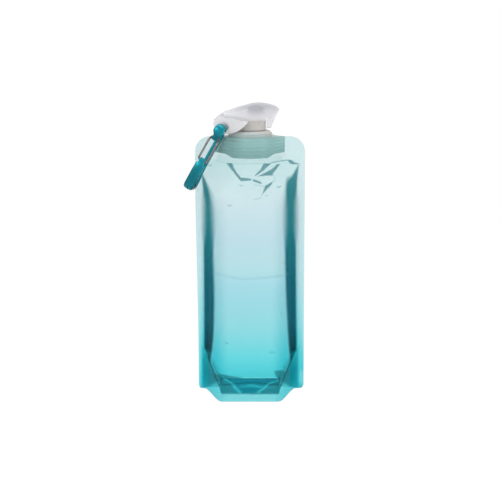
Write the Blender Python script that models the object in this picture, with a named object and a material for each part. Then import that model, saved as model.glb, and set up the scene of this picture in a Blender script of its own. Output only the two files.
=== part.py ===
# Collapsible water bottle: a welded film pouch with a bottom gusset, a weld-in neck,
# a screw cap with a drinking spout and a flip lid, and a wire-gate carabiner.
# Metres, +Z up. The front panel faces -Y. The origin is on the floor under the centre.

import math

import bmesh
import bpy
from mathutils import Matrix, Vector

MM = 0.001

# Pouch: flat seals at the sides, a full belly between them
HALF_WIDTH = 54.2 * MM          # centre to the outer edge of a side seal
POUCH_HEIGHT = 261.5 * MM       # floor to the top edge of the side seals
SEAL_WIDTH = 8.3 * MM           # side seals
FILM = 0.5 * MM                 # film wall
GAP = 0.3 * MM                  # clearance between neighbouring pieces
BELLY_DEPTH = 31.0 * MM         # centre plane to the front face at mid height
FOOT_DEPTH = 29.2 * MM          # centre plane to the front face at the floor
CORNER_DROP = 3.0 * MM          # the belly's corners lie this much nearer the centre plane
SIDE_WALL = 9.2 * MM            # width, seen from the front, of the steep side wall
TOP_CORNER = 15.0 * MM          # radius of the pouch's top corners
FOOT_CORNER = 4.0 * MM          # radius of the side seals' lower corners
SEAL_FOOT = 6.0 * MM            # the side seals end this far above the floor
HEM = 8.5 * MM                  # height of the welded bottom hem
HEM_HALF = 29.0 * MM            # half the straight run of the hem
GUSSET_HEIGHT = 45.0 * MM
WELD_BEND = 0.7                 # below 1, the slanted gusset welds rise steeply from the hem
SHOULDER_DROP = 62.0 * MM       # top edge to where the shoulder starts

# Neck fitment welded between the two panels
BODY_R = 23.6 * MM              # round middle of the weld boat
WING_HALF = 34.4 * MM           # centre to the wing tips
WING_TIP_R = 1.0 * MM
TIP_SHARE = 0.42                # share of a wing's points that go round its tip
WELD_HEIGHT = 19.5 * MM
WING_LIFT = 4.0 * MM            # the wings' lower edge lies this much above the body's
WING_ROOT = 20.0 * MM           # centre to where that step starts
WING_STEP = 5.0 * MM            # width of the step
WELD_RIB = 0.5 * MM             # depth of the weld grooves
NECK_RISE = 5.7 * MM            # the film stands this much higher round the neck
SHOULDER_R = 21.4 * MM
SHOULDER_HEIGHT = 6.2 * MM      # boat's top to the shoulder's top
NECK_R = 12.2 * MM              # outside the neck, between threads
NECK_HEIGHT = 6.9 * MM
BORE_R = 10.4 * MM
THREAD_DEPTH = 0.9 * MM
THREAD_PITCH = 3.2 * MM

# Screw cap
SKIRT_R = 15.5 * MM
SKIRT_WALL = 1.2 * MM
CAP_LIFT = 0.6 * MM             # shoulder to the bottom of the cap's skirt
GASKET = 1.2 * MM               # thickness of the sealing ring
DECK = 1.8 * MM                 # top wall of the cap
SPOUT_X = 5.5 * MM              # the spout sits off centre, away from the hinge
SPOUT_R = 8.0 * MM
SPOUT_BORE = 5.8 * MM
SPOUT_HEIGHT = 9.7 * MM

# Hull-shaped tail of the cap, and the lid that closes on it
HINGE_X = -29.5 * MM
HINGE_DROP = 0.9 * MM           # hinge axis below the deck's top
STERN = 0.80                    # width at the tail's end, of the widest
BARREL_R = 6.3 * MM
SHOULDER = 3.5 * MM             # from the hinge's axis to the slanted flat that cuts the barrel behind it
SHOULDER_TURN = math.radians(130)
KNUCKLE_R = 5.0 * MM
KNUCKLE_HALF = 2.7 * MM
EAR_WALL = 2.4 * MM
PIN_R = 1.5 * MM
CHEEK = 2.2 * MM                # wall of the tail's cheeks
CHEEK_END = -2.2 * MM
KEEL_DROP = 13.0 * MM           # lowest point of the cheeks, under the eye, below the deck's top
KEEL_BULGE = 0.6 * MM
EYE_X = -25.0 * MM
EYE_DROP = 6.2 * MM             # carabiner eye's centre below the deck's top
EYE_R = 5.0 * MM
LID_WALL = 1.6 * MM
LID_REAR = -25.6 * MM
LID_BOW = 23.5 * MM
LID_CROWN = 16.0 * MM           # crown above the parting line
CROWN_AT = 0.68                 # its place along the lid, from the hinge end
BOW_RAKE = 0.61                 # the bow leans out by this much for each unit of height
TAB_DROP = 8.4 * MM             # the thumb tab reaches this far under the parting line
TAB_HALF = 6.5 * MM
TAB_WALL = 2.2 * MM
TAB_RAKE = 0.33                 # how far the tab's front slants outward for each mm it rises
TAB_STEP = 1.0 * MM

# Carabiner
CARABINER_TILT = math.radians(29.5)
CARABINER_YAW = math.radians(10.0)
CARABINER_LENGTH = 70.5 * MM
CARABINER_REACH = 25.0 * MM     # spine's centre line to the gate's
BAR = 2.5 * MM                  # half the bar's thickness
SPINE_Y = -11.3 * MM
WIRE_R = 1.0 * MM
WIRE_SPREAD = 4.6 * MM
GATE_TOP = 13.2 * MM
GATE_PIVOT = 39.0 * MM

# Heights that follow from the sizes above
WELD_LOW = POUCH_HEIGHT - WELD_HEIGHT
SHOULDER_TOP = POUCH_HEIGHT + SHOULDER_HEIGHT
NECK_TOP = SHOULDER_TOP + NECK_HEIGHT
CAP_LOW = SHOULDER_TOP + CAP_LIFT
DECK_LOW = NECK_TOP + GASKET + 2 * GAP
DECK_TOP = DECK_LOW + DECK
PARTING = DECK_TOP + GAP
HINGE_Z = DECK_TOP - HINGE_DROP
SEAL_EDGE = HALF_WIDTH - SEAL_WIDTH


def smooth(t):
    t = min(1.0, max(0.0, t))
    return t * t * (3 - 2 * t)


def mix(a, b, t):
    return a + (b - a) * t


def bump(t):
    """One rounded tooth for each whole step of t."""
    return max(0.0, math.cos(2 * math.pi * t)) ** 0.6


# Helpers for meshes and materials

def material(name, colour, roughness, metallic=0.0, alpha=1.0):
    made = bpy.data.materials.new(name)
    made.use_nodes = True
    shader = made.node_tree.nodes["Principled BSDF"]
    shader.inputs["Base Color"].default_value = (*colour, 1.0)
    shader.inputs["Roughness"].default_value = roughness
    shader.inputs["Metallic"].default_value = metallic
    shader.inputs["Alpha"].default_value = alpha
    made.diffuse_color = (*colour, alpha)
    return made


def add_object(name, bm, finish, pivot=(0, 0, 0)):
    """Makes the object, with its origin at pivot."""
    bmesh.ops.recalc_face_normals(bm, faces=bm.faces)
    bmesh.ops.translate(bm, verts=bm.verts, vec=-Vector(pivot))
    mesh = bpy.data.meshes.new(name)
    bm.to_mesh(mesh)
    bm.free()
    obj = bpy.data.objects.new(name, mesh)
    obj.location = pivot
    bpy.context.scene.collection.objects.link(obj)
    mesh.materials.append(finish)
    mesh.shade_smooth()
    mesh.set_sharp_from_angle(angle=math.radians(35))
    return obj


def ring_solid(bm, rings, closed=True):
    """Joins rings of points, all of one length, into a tube. Closed, the last ring meets the first;
    otherwise both ends are filled."""
    made = [[bm.verts.new(p) for p in ring] for ring in rings]
    count = len(rings[0])
    pairs = list(zip(made, made[1:]))
    if closed:
        pairs.append((made[-1], made[0]))
    for low, high in pairs:
        for i in range(count):
            j = (i + 1) % count
            bm.faces.new((low[i], low[j], high[j], high[i]))
    if not closed:
        bm.faces.new(list(reversed(made[0])))
        bm.faces.new(made[-1])
    return bm


def circle(radius, z, count, x=0.0):
    step = 2 * math.pi / count
    return [(x + radius * math.cos(step * i), radius * math.sin(step * i), z) for i in range(count)]


def turned(profile, count, x=0.0):
    """A closed ring turned about a vertical axis from (radius, z) pairs."""
    return ring_solid(bmesh.new(), [circle(r, z, count, x) for r, z in profile])


def prism_y(outline, y_low, y_high):
    """A plate cut to an outline of (x, z) points, between two values of y."""
    bm = bmesh.new()
    return ring_solid(bm, [[(x, y, z) for x, z in outline] for y in (y_low, y_high)], closed=False)


def round_outline(x, z, radius, count=24):
    step = 2 * math.pi / count
    return [(x + radius * math.cos(step * i), z + radius * math.sin(step * i)) for i in range(count)]


def cutter(bm, name):
    """A working shape for a Boolean: it isn't part of the bottle."""
    bmesh.ops.recalc_face_normals(bm, faces=bm.faces)
    mesh = bpy.data.meshes.new(name)
    bm.to_mesh(mesh)
    bm.free()
    obj = bpy.data.objects.new(name, mesh)
    bpy.context.scene.collection.objects.link(obj)
    obj.hide_render = True
    obj.display_type = "WIRE"
    return obj


def apply_booleans(obj, steps):
    """Unites or cuts obj with working shapes, in order, and keeps the result as its mesh."""
    tools = []
    for operation, bm in steps:
        tool = cutter(bm, obj.name + "_tool")
        tool.location = (0, 0, 0)
        change = obj.modifiers.new("cut", "BOOLEAN")
        change.operation = operation
        change.solver = "EXACT"
        change.object = tool
        tools.append(tool)
    bpy.context.view_layer.update()
    graph = bpy.context.evaluated_depsgraph_get()
    mesh = bpy.data.meshes.new_from_object(obj.evaluated_get(graph))
    obj.modifiers.clear()
    obj.data = mesh
    for tool in tools:
        bpy.data.objects.remove(tool)
    mesh.shade_smooth()
    mesh.set_sharp_from_angle(angle=math.radians(35))


# Pouch

def belt(offset):
    """The weld boat's outline, grown by offset: where its straight side leaves the round body
    and meets the tip, as (x, depth) pairs, and its slope."""
    big = BODY_R + offset
    small = WING_TIP_R + offset
    tip = WING_HALF - WING_TIP_R
    cosine = (BODY_R - WING_TIP_R) / tip
    sine = math.sqrt(1 - cosine * cosine)
    return (big * cosine, big * sine), (tip + small * cosine, small * sine), cosine / sine


def neck_depth(x):
    """Depth of the film's outer face where it wraps the weld boat."""
    leave, meet, slope = belt(GAP + FILM)
    if x <= leave[0]:
        return math.sqrt((BODY_R + GAP + FILM) ** 2 - x * x)
    return max(meet[1] - (x - meet[0]) * slope, seal_depth())


def seal_depth():
    return GAP / 2 + FILM


def belly_depth(x, z):
    """Depth of the film's outer face over the belly, from the hem up."""
    share = smooth((z - HEM) / (GUSSET_HEIGHT - HEM))
    corner_x = mix(HEM_HALF, SEAL_EDGE - SIDE_WALL, share)
    middle = mix(FOOT_DEPTH, BELLY_DEPTH, smooth((z - HEM) / (2 * GUSSET_HEIGHT)))
    corner = middle - CORNER_DROP * share
    if x <= corner_x:
        return mix(middle, corner, (x / corner_x) ** 2)
    return mix(corner, seal_depth(), min(1.0, (x - corner_x) / (SEAL_EDGE - corner_x)))


def film_depth(x, z):
    """Depth of the film's outer face, centre plane to front, at x across and height z."""
    x = abs(x)
    low = POUCH_HEIGHT - SHOULDER_DROP
    share = smooth((z - low) / (WELD_LOW - 3 * MM - low))
    return mix(belly_depth(x, z), neck_depth(x), share)


def film_foot(x):
    """Height of the film's lower edge."""
    x = abs(x)
    rise = SEAL_FOOT * smooth((x - HEM_HALF) / (SEAL_EDGE - HEM_HALF))
    over = x - (HALF_WIDTH - FOOT_CORNER)
    if over > 0:
        rise += FOOT_CORNER - math.sqrt(max(0.0, FOOT_CORNER ** 2 - over ** 2))
    return rise


def film_top(x):
    """Height of the film's upper edge."""
    x = abs(x)
    over = x - (HALF_WIDTH - TOP_CORNER)
    if over > 0:
        return POUCH_HEIGHT - TOP_CORNER + math.sqrt(max(0.0, TOP_CORNER ** 2 - over ** 2))
    return POUCH_HEIGHT + NECK_RISE * max(0.0, 1 - (x / (BODY_R + GAP)) ** 2) ** 0.6


def film_columns():
    """Values of x across half a panel: close together round the neck and at the corners."""
    leave, meet, slope = belt(GAP + FILM)
    flat = meet[0] + (meet[1] - seal_depth()) / slope
    round_steps = 5
    turn = math.asin(leave[0] / (BODY_R + GAP + FILM))
    columns = [(BODY_R + GAP + FILM) * math.sin(turn * i / round_steps) for i in range(round_steps + 1)]
    columns += [mix(leave[0], flat, 0.35), mix(leave[0], flat, 0.7), flat]
    columns += [HEM_HALF, SEAL_EDGE - SIDE_WALL, SEAL_EDGE - SIDE_WALL / 2, SEAL_EDGE]
    for share in (0.35, 0.62, 0.8, 0.93, 1.0):
        columns.append(mix(SEAL_EDGE, HALF_WIDTH, share))
    columns = sorted(columns)
    columns = [x for i, x in enumerate(columns) if i == 0 or x - columns[i - 1] > FILM]
    return [-x for x in reversed(columns[1:])] + columns


def film_rows():
    """Shares of the panel's height: close together at the hem, the shoulder and the neck."""
    low = POUCH_HEIGHT - SHOULDER_DROP
    stops = [(0.0, HEM, 2), (HEM, GUSSET_HEIGHT, 4), (GUSSET_HEIGHT, low, 4), (low, WELD_LOW, 6),
             (WELD_LOW, POUCH_HEIGHT, 3)]
    rows = [0.0]
    for start, end, count in stops:
        rows += [mix(start, end, (i + 1) / count) / POUCH_HEIGHT for i in range(count)]
    return rows


def make_panel(name, side, finish):
    """One wall of the pouch. side is -1 at the front and 1 at the back."""
    bm = bmesh.new()
    grid = []
    for x in film_columns():
        foot, top = film_foot(x), film_top(x)
        column = []
        for share in film_rows():
            z = mix(foot, top, share)
            column.append(bm.verts.new((x, side * film_depth(x, z), z)))
        grid.append(column)
    for left, right in zip(grid, grid[1:]):
        for i in range(len(left) - 1):
            face = (left[i], right[i], right[i + 1], left[i + 1])
            bm.faces.new(face if side < 0 else tuple(reversed(face)))
    return add_shell(name, bm, finish)


def add_shell(name, bm, finish):
    """A sheet of film: the faces given are its outer side, and its wall goes inward."""
    mesh = bpy.data.meshes.new(name)
    bm.to_mesh(mesh)
    bm.free()
    obj = bpy.data.objects.new(name, mesh)
    bpy.context.scene.collection.objects.link(obj)
    mesh.materials.append(finish)
    mesh.shade_smooth()
    wall = obj.modifiers.new("wall", "SOLIDIFY")
    wall.thickness = FILM
    wall.offset = -1.0
    wall.use_even_offset = True
    return obj


def inner_depth(x, z, clearance):
    """Depth of a surface that lies clearance inside the film's outer face."""
    step = 0.5 * MM
    across = (film_depth(x + step, z) - film_depth(x - step, z)) / (2 * step)
    up = (film_depth(x, z + step) - film_depth(x, z - step)) / (2 * step)
    return film_depth(x, z) - clearance * math.sqrt(1 + across ** 2 + up ** 2)


def weld_height(x):
    """Height of the gusset's weld line: level along the hem, then slanting up to the side seals."""
    share = max(0.0, (abs(x) - HEM_HALF) / (SEAL_EDGE - HEM_HALF))
    return mix(HEM, GUSSET_HEIGHT, share ** WELD_BEND)


def make_gusset(finish):
    """The floor of the pouch: a front skirt, a folded floor and a back skirt."""
    half = SEAL_EDGE - 3.2 * MM
    clearance = FILM + 3 * GAP
    count = 22
    skirt_rows = 4
    floor_rows = 6
    bm = bmesh.new()
    grid = []
    for i in range(count + 1):
        x = mix(-half, half, i / count)
        foot, weld = film_foot(x), weld_height(x)
        skirt = [mix(foot, weld, k / skirt_rows) for k in range(skirt_rows + 1)]
        edge = inner_depth(x, weld, clearance)
        fold = 3.0 * MM * (1 - smooth(abs(x) / half))
        points = [(x, -inner_depth(x, z, clearance), z) for z in skirt]
        for k in range(1, floor_rows):
            share = 2 * k / floor_rows - 1
            points.append((x, edge * share, weld + fold * (1 - abs(share))))
        points += [(x, inner_depth(x, z, clearance), z) for z in reversed(skirt)]
        grid.append([bm.verts.new(p) for p in points])
    for left, right in zip(grid, grid[1:]):
        for i in range(len(left) - 1):
            bm.faces.new((left[i], right[i], right[i + 1], left[i + 1]))
    return add_shell("bottom_gusset", bm, finish)


# Neck fitment

def boat_point(turn, offset):
    """A point (x, y) of the weld boat's outline: round body, straight flanks and small round wing tips."""
    tip = WING_HALF - WING_TIP_R
    meet = math.acos((BODY_R - WING_TIP_R) / tip)
    c, s = math.cos(turn), math.sin(turn)
    away = math.acos(min(1.0, abs(c)))
    if away >= meet:
        return (BODY_R + offset) * c, (BODY_R + offset) * s
    tip_end = TIP_SHARE * meet
    facing = min(away / tip_end, 1.0) * meet
    x, y = tip + (WING_TIP_R + offset) * math.cos(facing), (WING_TIP_R + offset) * math.sin(facing)
    if away > tip_end:
        along = (away - tip_end) / (meet - tip_end)
        x = mix(x, (BODY_R + offset) * math.cos(meet), along)
        y = mix(y, (BODY_R + offset) * math.sin(meet), along)
    return math.copysign(x, c), math.copysign(y, s)


def boat_low(x):
    """Height of the boat's lower edge: level under the body, stepping up to the wings."""
    return WELD_LOW + WING_LIFT * smooth((abs(x) - WING_ROOT) / WING_STEP)


def boat_ring(offset, share, count):
    """The boat's outline at this share of its height."""
    points = []
    for i in range(count):
        x, y = boat_point(2 * math.pi * i / count, offset)
        points.append((x, y, mix(boat_low(x), POUCH_HEIGHT, share)))
    return points


def threaded(radius, depth, low, high, count, levels):
    """Rings with a helical rib: depth is positive for an outside thread."""
    rings = []
    for k in range(levels + 1):
        z = mix(low, high, k / levels)
        fade = smooth(min(z - low, high - z) / (THREAD_PITCH / 3))
        ring = []
        for i in range(count):
            turn = i / count
            r = radius + depth * fade * bump((z - low) / THREAD_PITCH - turn)
            ring.append((r * math.cos(2 * math.pi * turn), r * math.sin(2 * math.pi * turn), z))
        rings.append(ring)
    return rings


def make_neck(finish):
    count = 40
    rings = []
    ribs = 5
    for k in range(2 * ribs + 1):
        rings.append(boat_ring(-WELD_RIB if k % 2 else 0.0, k / (2 * ribs), count))
    rings.append(circle(SHOULDER_R, POUCH_HEIGHT + 0.4 * MM, count))
    rings.append(circle(SHOULDER_R, SHOULDER_TOP - 2.4 * MM, count))
    rings.append(circle(SHOULDER_R - 1.6 * MM, SHOULDER_TOP - 0.7 * MM, count))
    rings.append(circle(SHOULDER_R - 4.0 * MM, SHOULDER_TOP, count))
    rings.append(circle(NECK_R, SHOULDER_TOP, count))
    rings += threaded(NECK_R, THREAD_DEPTH, SHOULDER_TOP + 0.5 * MM, NECK_TOP - 0.5 * MM, count, 10)
    rings.append(circle(NECK_R, NECK_TOP, count))
    rings.append(circle(BORE_R, NECK_TOP, count))
    rings.append(circle(BORE_R, WELD_LOW, count))
    return add_object("neck_fitment", ring_solid(bmesh.new(), rings), finish)


# Cap

def make_gasket(finish):
    low = NECK_TOP + GAP
    inner, outer = BORE_R + 0.3 * MM, SKIRT_R - SKIRT_WALL - 1.4 * MM
    profile = [(outer, low), (outer, low + GASKET), (inner, low + GASKET), (inner, low)]
    return add_object("cap_gasket", turned(profile, 32), finish)


def hull_half(x):
    """Half the hull's width at x: widest over the neck, narrow at the hinge and at the bow."""
    widest = BODY_R - 2.4 * MM
    if x < 0:
        reach = HINGE_X - BARREL_R
        return widest * mix(1.0, STERN, (x / reach) ** 2.2)
    return widest * math.sqrt(max(0.0, 1 - (x / (LID_BOW + 0.4 * MM)) ** 2.4))


def parting_height(x):
    """Height of the line where lid and tail meet: level over the neck, rising to the barrel."""
    rise = HINGE_Z + BARREL_R - 0.8 * MM - PARTING
    return PARTING + rise * max(0.0, (x + 3.5 * MM) / (HINGE_X + 6.0 * MM)) ** 1.2


def cheek_heights(x):
    """The lowest and highest point of a cheek at x: barrel, parting line, and the hull's curved keel."""
    reach = x - HINGE_X
    high = parting_height(x) - 1.5 * GAP
    if reach < BARREL_R:
        high = min(high, HINGE_Z + math.sqrt(max(0.0, BARREL_R ** 2 - reach ** 2)))
    slope = math.tan(SHOULDER_TURN - math.pi / 2)
    high = min(high, HINGE_Z + SHOULDER / math.sin(SHOULDER_TURN) + slope * reach)
    keel = DECK_TOP - KEEL_DROP
    left = HINGE_X - BARREL_R
    if x < EYE_X:
        share = (EYE_X - x) / (EYE_X - left)
        return mix(HINGE_Z, keel, math.sqrt(max(0.0, 1 - share ** 2))), high
    share = (CHEEK_END - x) / (CHEEK_END - EYE_X)
    low = DECK_TOP - 1.6 * MM
    return keel + (low - keel) * (1 - share) ** 2.6 + KEEL_BULGE * math.sin(math.pi * share), high


def cheek(side):
    """A cheek of the tail, curved to the hull's plan."""
    left = HINGE_X - BARREL_R
    steps = 18
    rings = []
    for i in range(steps + 1):
        x = mix(left + 0.15 * MM, CHEEK_END, 1 - math.cos(math.pi / 2 * i / steps) ** 0.9)
        low, high = cheek_heights(x)
        outer, inner = side * hull_half(x), side * (hull_half(x) - CHEEK)
        rings.append([(x, outer, low), (x, outer, high), (x, inner, high), (x, inner, low)])
    return ring_solid(bmesh.new(), rings, closed=False)


def deck_web():
    """The flat web that carries the cheeks, flush with the cap's deck."""
    steps = 6
    left, right = -18.0 * MM, -3.0 * MM
    rim = [(x, hull_half(x) - CHEEK / 2) for x in (mix(left, right, i / steps) for i in range(steps + 1))]
    plan = rim + [(x, -y) for x, y in reversed(rim)]
    levels = (DECK_LOW + 0.2 * MM, DECK_TOP - 0.2 * MM)
    return ring_solid(bmesh.new(), [[(x, y, z) for x, y in plan] for z in levels], closed=False)


def hinge_outline(radius, start, end):
    """Points round the hinge's axis, from start to end in degrees, short of the slanted shoulder."""
    outline = []
    steps = 16
    for i in range(steps + 1):
        turn = math.radians(mix(start, end, i / steps))
        lean = max(math.cos(turn - SHOULDER_TURN), 0.1)
        reach = min(radius, SHOULDER / lean)
        outline.append((HINGE_X + reach * math.cos(turn), HINGE_Z + reach * math.sin(turn)))
    return outline


def ear(side):
    """A hinge ear: round about the pin, running back into the cap's skirt."""
    outline = hinge_outline(BARREL_R - 0.3 * MM, 60, 300)
    back = -SKIRT_R + 0.6 * MM
    outline += [(back, DECK_LOW - 3 * MM), (back, DECK_TOP - 0.4 * MM), (-20.0 * MM, DECK_TOP - 0.4 * MM)]
    low, high = sorted((side * (KNUCKLE_HALF + GAP), side * (KNUCKLE_HALF + GAP + EAR_WALL)))
    return prism_y(outline, low, high)


def make_cap(finish):
    count = 40
    inner = SKIRT_R - SKIRT_WALL
    hole = SPOUT_BORE + 0.4 * MM
    rings = [circle(SKIRT_R, CAP_LOW, count), circle(SKIRT_R, DECK_TOP, count),
             circle(hole, DECK_TOP, count, SPOUT_X), circle(hole, DECK_LOW, count, SPOUT_X),
             circle(inner, DECK_LOW, count)]
    thread = threaded(inner, -0.7 * THREAD_DEPTH, CAP_LOW + 0.6 * MM, NECK_TOP - 0.4 * MM, count, 9)
    rings += reversed(thread)
    rings.append(circle(inner, CAP_LOW, count))
    cap = add_object("cap_base", ring_solid(bmesh.new(), rings), finish)
    eye = prism_y(round_outline(EYE_X, DECK_TOP - EYE_DROP, EYE_R), -BODY_R, -BODY_R / 2)
    pin = prism_y(round_outline(HINGE_X, HINGE_Z, PIN_R + GAP, 16), -BODY_R / 2, BODY_R / 2)
    apply_booleans(cap, [("UNION", cheek(-1)), ("UNION", cheek(1)), ("UNION", deck_web()),
                         ("UNION", ear(-1)), ("UNION", ear(1)),
                         ("DIFFERENCE", eye), ("DIFFERENCE", pin)])
    return cap


def make_spout(finish):
    low = DECK_TOP + GAP
    top = DECK_TOP + SPOUT_HEIGHT
    profile = [(SPOUT_R + 1.2 * MM, low), (SPOUT_R + 1.2 * MM, low + 1.0 * MM), (SPOUT_R, low + 1.6 * MM),
               (SPOUT_R - 0.4 * MM, mix(low, top, 0.6)), (SPOUT_R, top - 0.8 * MM),
               (SPOUT_R - 0.7 * MM, top), (SPOUT_BORE, top), (SPOUT_BORE, low)]
    return add_object("drinking_spout", turned(profile, 32, SPOUT_X), finish)


# Lid

def crown_height(x):
    """Height of the lid's ridge above the parting line at x, before the bow's rake."""
    share = (x - LID_REAR) / (LID_BOW - LID_REAR)
    behind = max(0.0, 1 - share / CROWN_AT)
    ahead = max(0.0, (share - CROWN_AT) / (1 - CROWN_AT))
    return LID_CROWN * (1 - 0.875 * behind ** 2.2 - 0.41 * ahead ** 1.6)


def hull_section(x, half, base, height, count):
    """One arch across the hull, from one rim to the other, raked at the bow."""
    points = []
    ramp = smooth((x - 4 * MM) / (LID_BOW - 6 * MM))
    for i in range(count + 1):
        turn = math.pi * (i / count - 0.5)
        across = math.copysign(abs(math.sin(turn)) ** 0.8, turn)
        z = base + height * math.cos(turn) ** 0.62 if abs(turn) < math.pi / 2 - 1e-6 else base
        rake = BOW_RAKE * ramp * (z - PARTING)
        points.append((x + rake, half * across, z))
    return points


def bowl(bm, sections):
    """Joins arches into an open bowl with closed ends. Returns the rim's two edges."""
    made = [[bm.verts.new(p) for p in section] for section in sections]
    for a, b in zip(made, made[1:]):
        for i in range(len(a) - 1):
            bm.faces.new((a[i], b[i], b[i + 1], a[i + 1]))
    bm.faces.new(made[0])
    bm.faces.new(made[-1])
    rim = [section[0] for section in made] + [section[-1] for section in reversed(made)]
    return rim


def make_lid(finish, hinge):
    stations = 14
    arch = 16
    outer, inner = [], []
    wall = LID_WALL
    for i in range(stations + 1):
        share = i / stations
        x = mix(LID_REAR, LID_BOW, 1 - (1 - share) ** 1.35)
        half = max(hull_half(x), TAB_HALF)
        outer.append(hull_section(x, half, parting_height(x), crown_height(x), arch))
        x_in = mix(LID_REAR + 2.5 * MM, LID_BOW - wall * 1.3, 1 - (1 - share) ** 1.35)
        half_in = max(hull_half(x_in), TAB_HALF) - wall * 1.1
        height_in = max(crown_height(x_in) - wall * 1.15, 0.3 * MM)
        inner.append(hull_section(x_in, half_in, parting_height(x_in), height_in, arch))
    bm = bmesh.new()
    rim_out = bowl(bm, outer)
    rim_in = bowl(bm, inner)
    for i in range(len(rim_out)):
        j = (i + 1) % len(rim_out)
        bm.faces.new((rim_out[i], rim_out[j], rim_in[j], rim_in[i]))
    bmesh.ops.triangulate(bm, faces=bm.faces)
    lid = add_object("flip_lid", bm, finish)
    apply_booleans(lid, [("UNION", lid_tab()), ("UNION", lid_knuckle()),
                         ("DIFFERENCE", prism_y(round_outline(HINGE_X, HINGE_Z, PIN_R + GAP, 16),
                                                -BODY_R / 2, BODY_R / 2))])
    lid.data.transform(Matrix.Translation(-hinge))
    lid.location = hinge
    return lid


def lid_tab():
    """The thumb tab that hangs from the bow beside the cap's skirt."""
    foot = -TAB_DROP
    top = 2.0 * MM
    outer = LID_BOW - GAP
    inner = SKIRT_R + 2 * GAP
    outline = [(outer + TAB_RAKE * foot, foot), (outer + BOW_RAKE * top, top),
               (outer + BOW_RAKE * top - TAB_WALL, top), (inner, -TAB_STEP), (inner, foot)]
    return prism_y([(x, PARTING + z) for x, z in outline], -TAB_HALF, TAB_HALF)


def lid_knuckle():
    """The lid's hinge knuckle and the arm that joins it to the roof."""
    outline = hinge_outline(KNUCKLE_R, 100, 340)
    roof_x = LID_REAR + 4.0 * MM
    roof = parting_height(roof_x) + crown_height(roof_x) - LID_WALL / 2
    low_x = LID_REAR + 1.0 * MM
    outline += [(roof_x, parting_height(roof_x)), (roof_x, roof),
                (low_x, parting_height(low_x) + 0.5 * crown_height(low_x))]
    return prism_y(outline, -KNUCKLE_HALF, KNUCKLE_HALF)


def make_lid_seal(finish, hinge):
    face = DECK_TOP + SPOUT_HEIGHT + 1.5 * GAP
    roof = PARTING + crown_height(SPOUT_X) - 1.15 * LID_WALL - 5 * GAP
    plug = SPOUT_BORE - 0.8 * MM
    profile = [(plug - 0.8 * MM, face - 1.3 * MM), (plug, face - 0.2 * MM), (SPOUT_R + 0.2 * MM, face),
               (SPOUT_R + 0.2 * MM, face + 1.2 * MM), (SPOUT_R - 4.0 * MM, roof)]
    bm = ring_solid(bmesh.new(), [circle(r, z, 28, SPOUT_X) for r, z in profile], closed=False)
    return add_object("lid_seal", bm, finish, hinge)


def make_pin(finish, hinge):
    half = KNUCKLE_HALF + EAR_WALL
    bm = prism_y(round_outline(HINGE_X, HINGE_Z, PIN_R, 16), -half, half)
    return add_object("hinge_pin", bm, finish, hinge)


# Carabiner: s runs down its length from the top, v from the spine to the gate, w across

def carabiner_axes():
    down = Vector((-math.sin(CARABINER_TILT), 0, -math.cos(CARABINER_TILT)))
    side = Vector((math.cos(CARABINER_TILT), 0, -math.sin(CARABINER_TILT)))
    front = Vector((0, -1, 0)) * math.cos(CARABINER_YAW) - side * math.sin(CARABINER_YAW)
    return down, front, down.cross(front)


def carabiner_point(s, v, w=0.0):
    """A point of the carabiner. Its bar passes through the middle of the cap's eye."""
    down, front, across = carabiner_axes()
    eye = Vector((EYE_X, SPINE_Y, DECK_TOP - EYE_DROP))
    at_eye = (hull_half(EYE_X) - CHEEK / 2 + SPINE_Y) / math.cos(CARABINER_YAW)
    slide = front * at_eye
    slide.y = 0
    return eye - slide + down * (s - BAR) + front * v + across * w


def loop_path():
    """The bar's centre line as (s, v, half width, half thickness): nose, head, spine, foot and block."""
    reach, end, corner = CARABINER_REACH, CARABINER_LENGTH - BAR, 4.5 * MM
    points = [(16.6 * MM, reach, 2.4 * MM, 2.0 * MM), (15.2 * MM, reach, 3.0 * MM, BAR),
              (11.5 * MM, reach, 3.0 * MM, BAR), (9.0 * MM, reach, 4.9 * MM, 1.1 * BAR)]

    def bend(s, v, start, half_a, half_b):
        for i in range(6):
            turn = math.radians(start + 90 * i / 5)
            points.append((s - corner * math.sin(turn), v + corner * math.cos(turn),
                           mix(half_a, half_b, i / 5), BAR))

    bend(BAR + corner, reach - corner, 0, 5.5 * MM, 4.6 * MM)
    points.append((BAR, reach * 0.5, 3.4 * MM, BAR))
    bend(BAR + corner, corner, 90, 3.0 * MM, 2.9 * MM)
    points.append((end * 0.5, 0.0, 2.8 * MM, BAR))
    points.append((end - 20 * MM, 0.0, 3.0 * MM, BAR))
    bend(end - corner, corner, 180, 4.2 * MM, 4.6 * MM)
    points.append((end, reach * 0.5, 4.7 * MM, 1.1 * BAR))
    bend(end - corner, reach - corner, 270, 4.7 * MM, 4.8 * MM)
    points.append((GATE_PIVOT + 8 * MM, reach, 4.9 * MM, 1.3 * BAR))
    points.append((GATE_PIVOT + 3.4 * MM, reach, 4.7 * MM, 1.2 * BAR))
    return points


def bar_ring(previous, here, following):
    """An eight-sided section square to the path at here."""
    along = Vector((following[0] - previous[0], following[1] - previous[1])).normalized()
    normal = Vector((-along.y, along.x))
    half, thick = here[2], here[3]
    chamfer = 0.32
    ring = []
    for a, b in ((1, 1 - chamfer), (1 - chamfer, 1), (chamfer - 1, 1), (-1, 1 - chamfer),
                 (-1, chamfer - 1), (chamfer - 1, -1), (1 - chamfer, -1), (1, chamfer - 1)):
        offset = normal * (thick * b)
        ring.append(carabiner_point(here[0] + offset.x, here[1] + offset.y, half * a))
    return ring


def box_between(s_range, v_range, w_half):
    corners = []
    for s in s_range:
        corners.append([carabiner_point(s, v, w) for v, w in
                        ((v_range[0], -w_half), (v_range[1], -w_half), (v_range[1], w_half),
                         (v_range[0], w_half))])
    return ring_solid(bmesh.new(), corners, closed=False)


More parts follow.
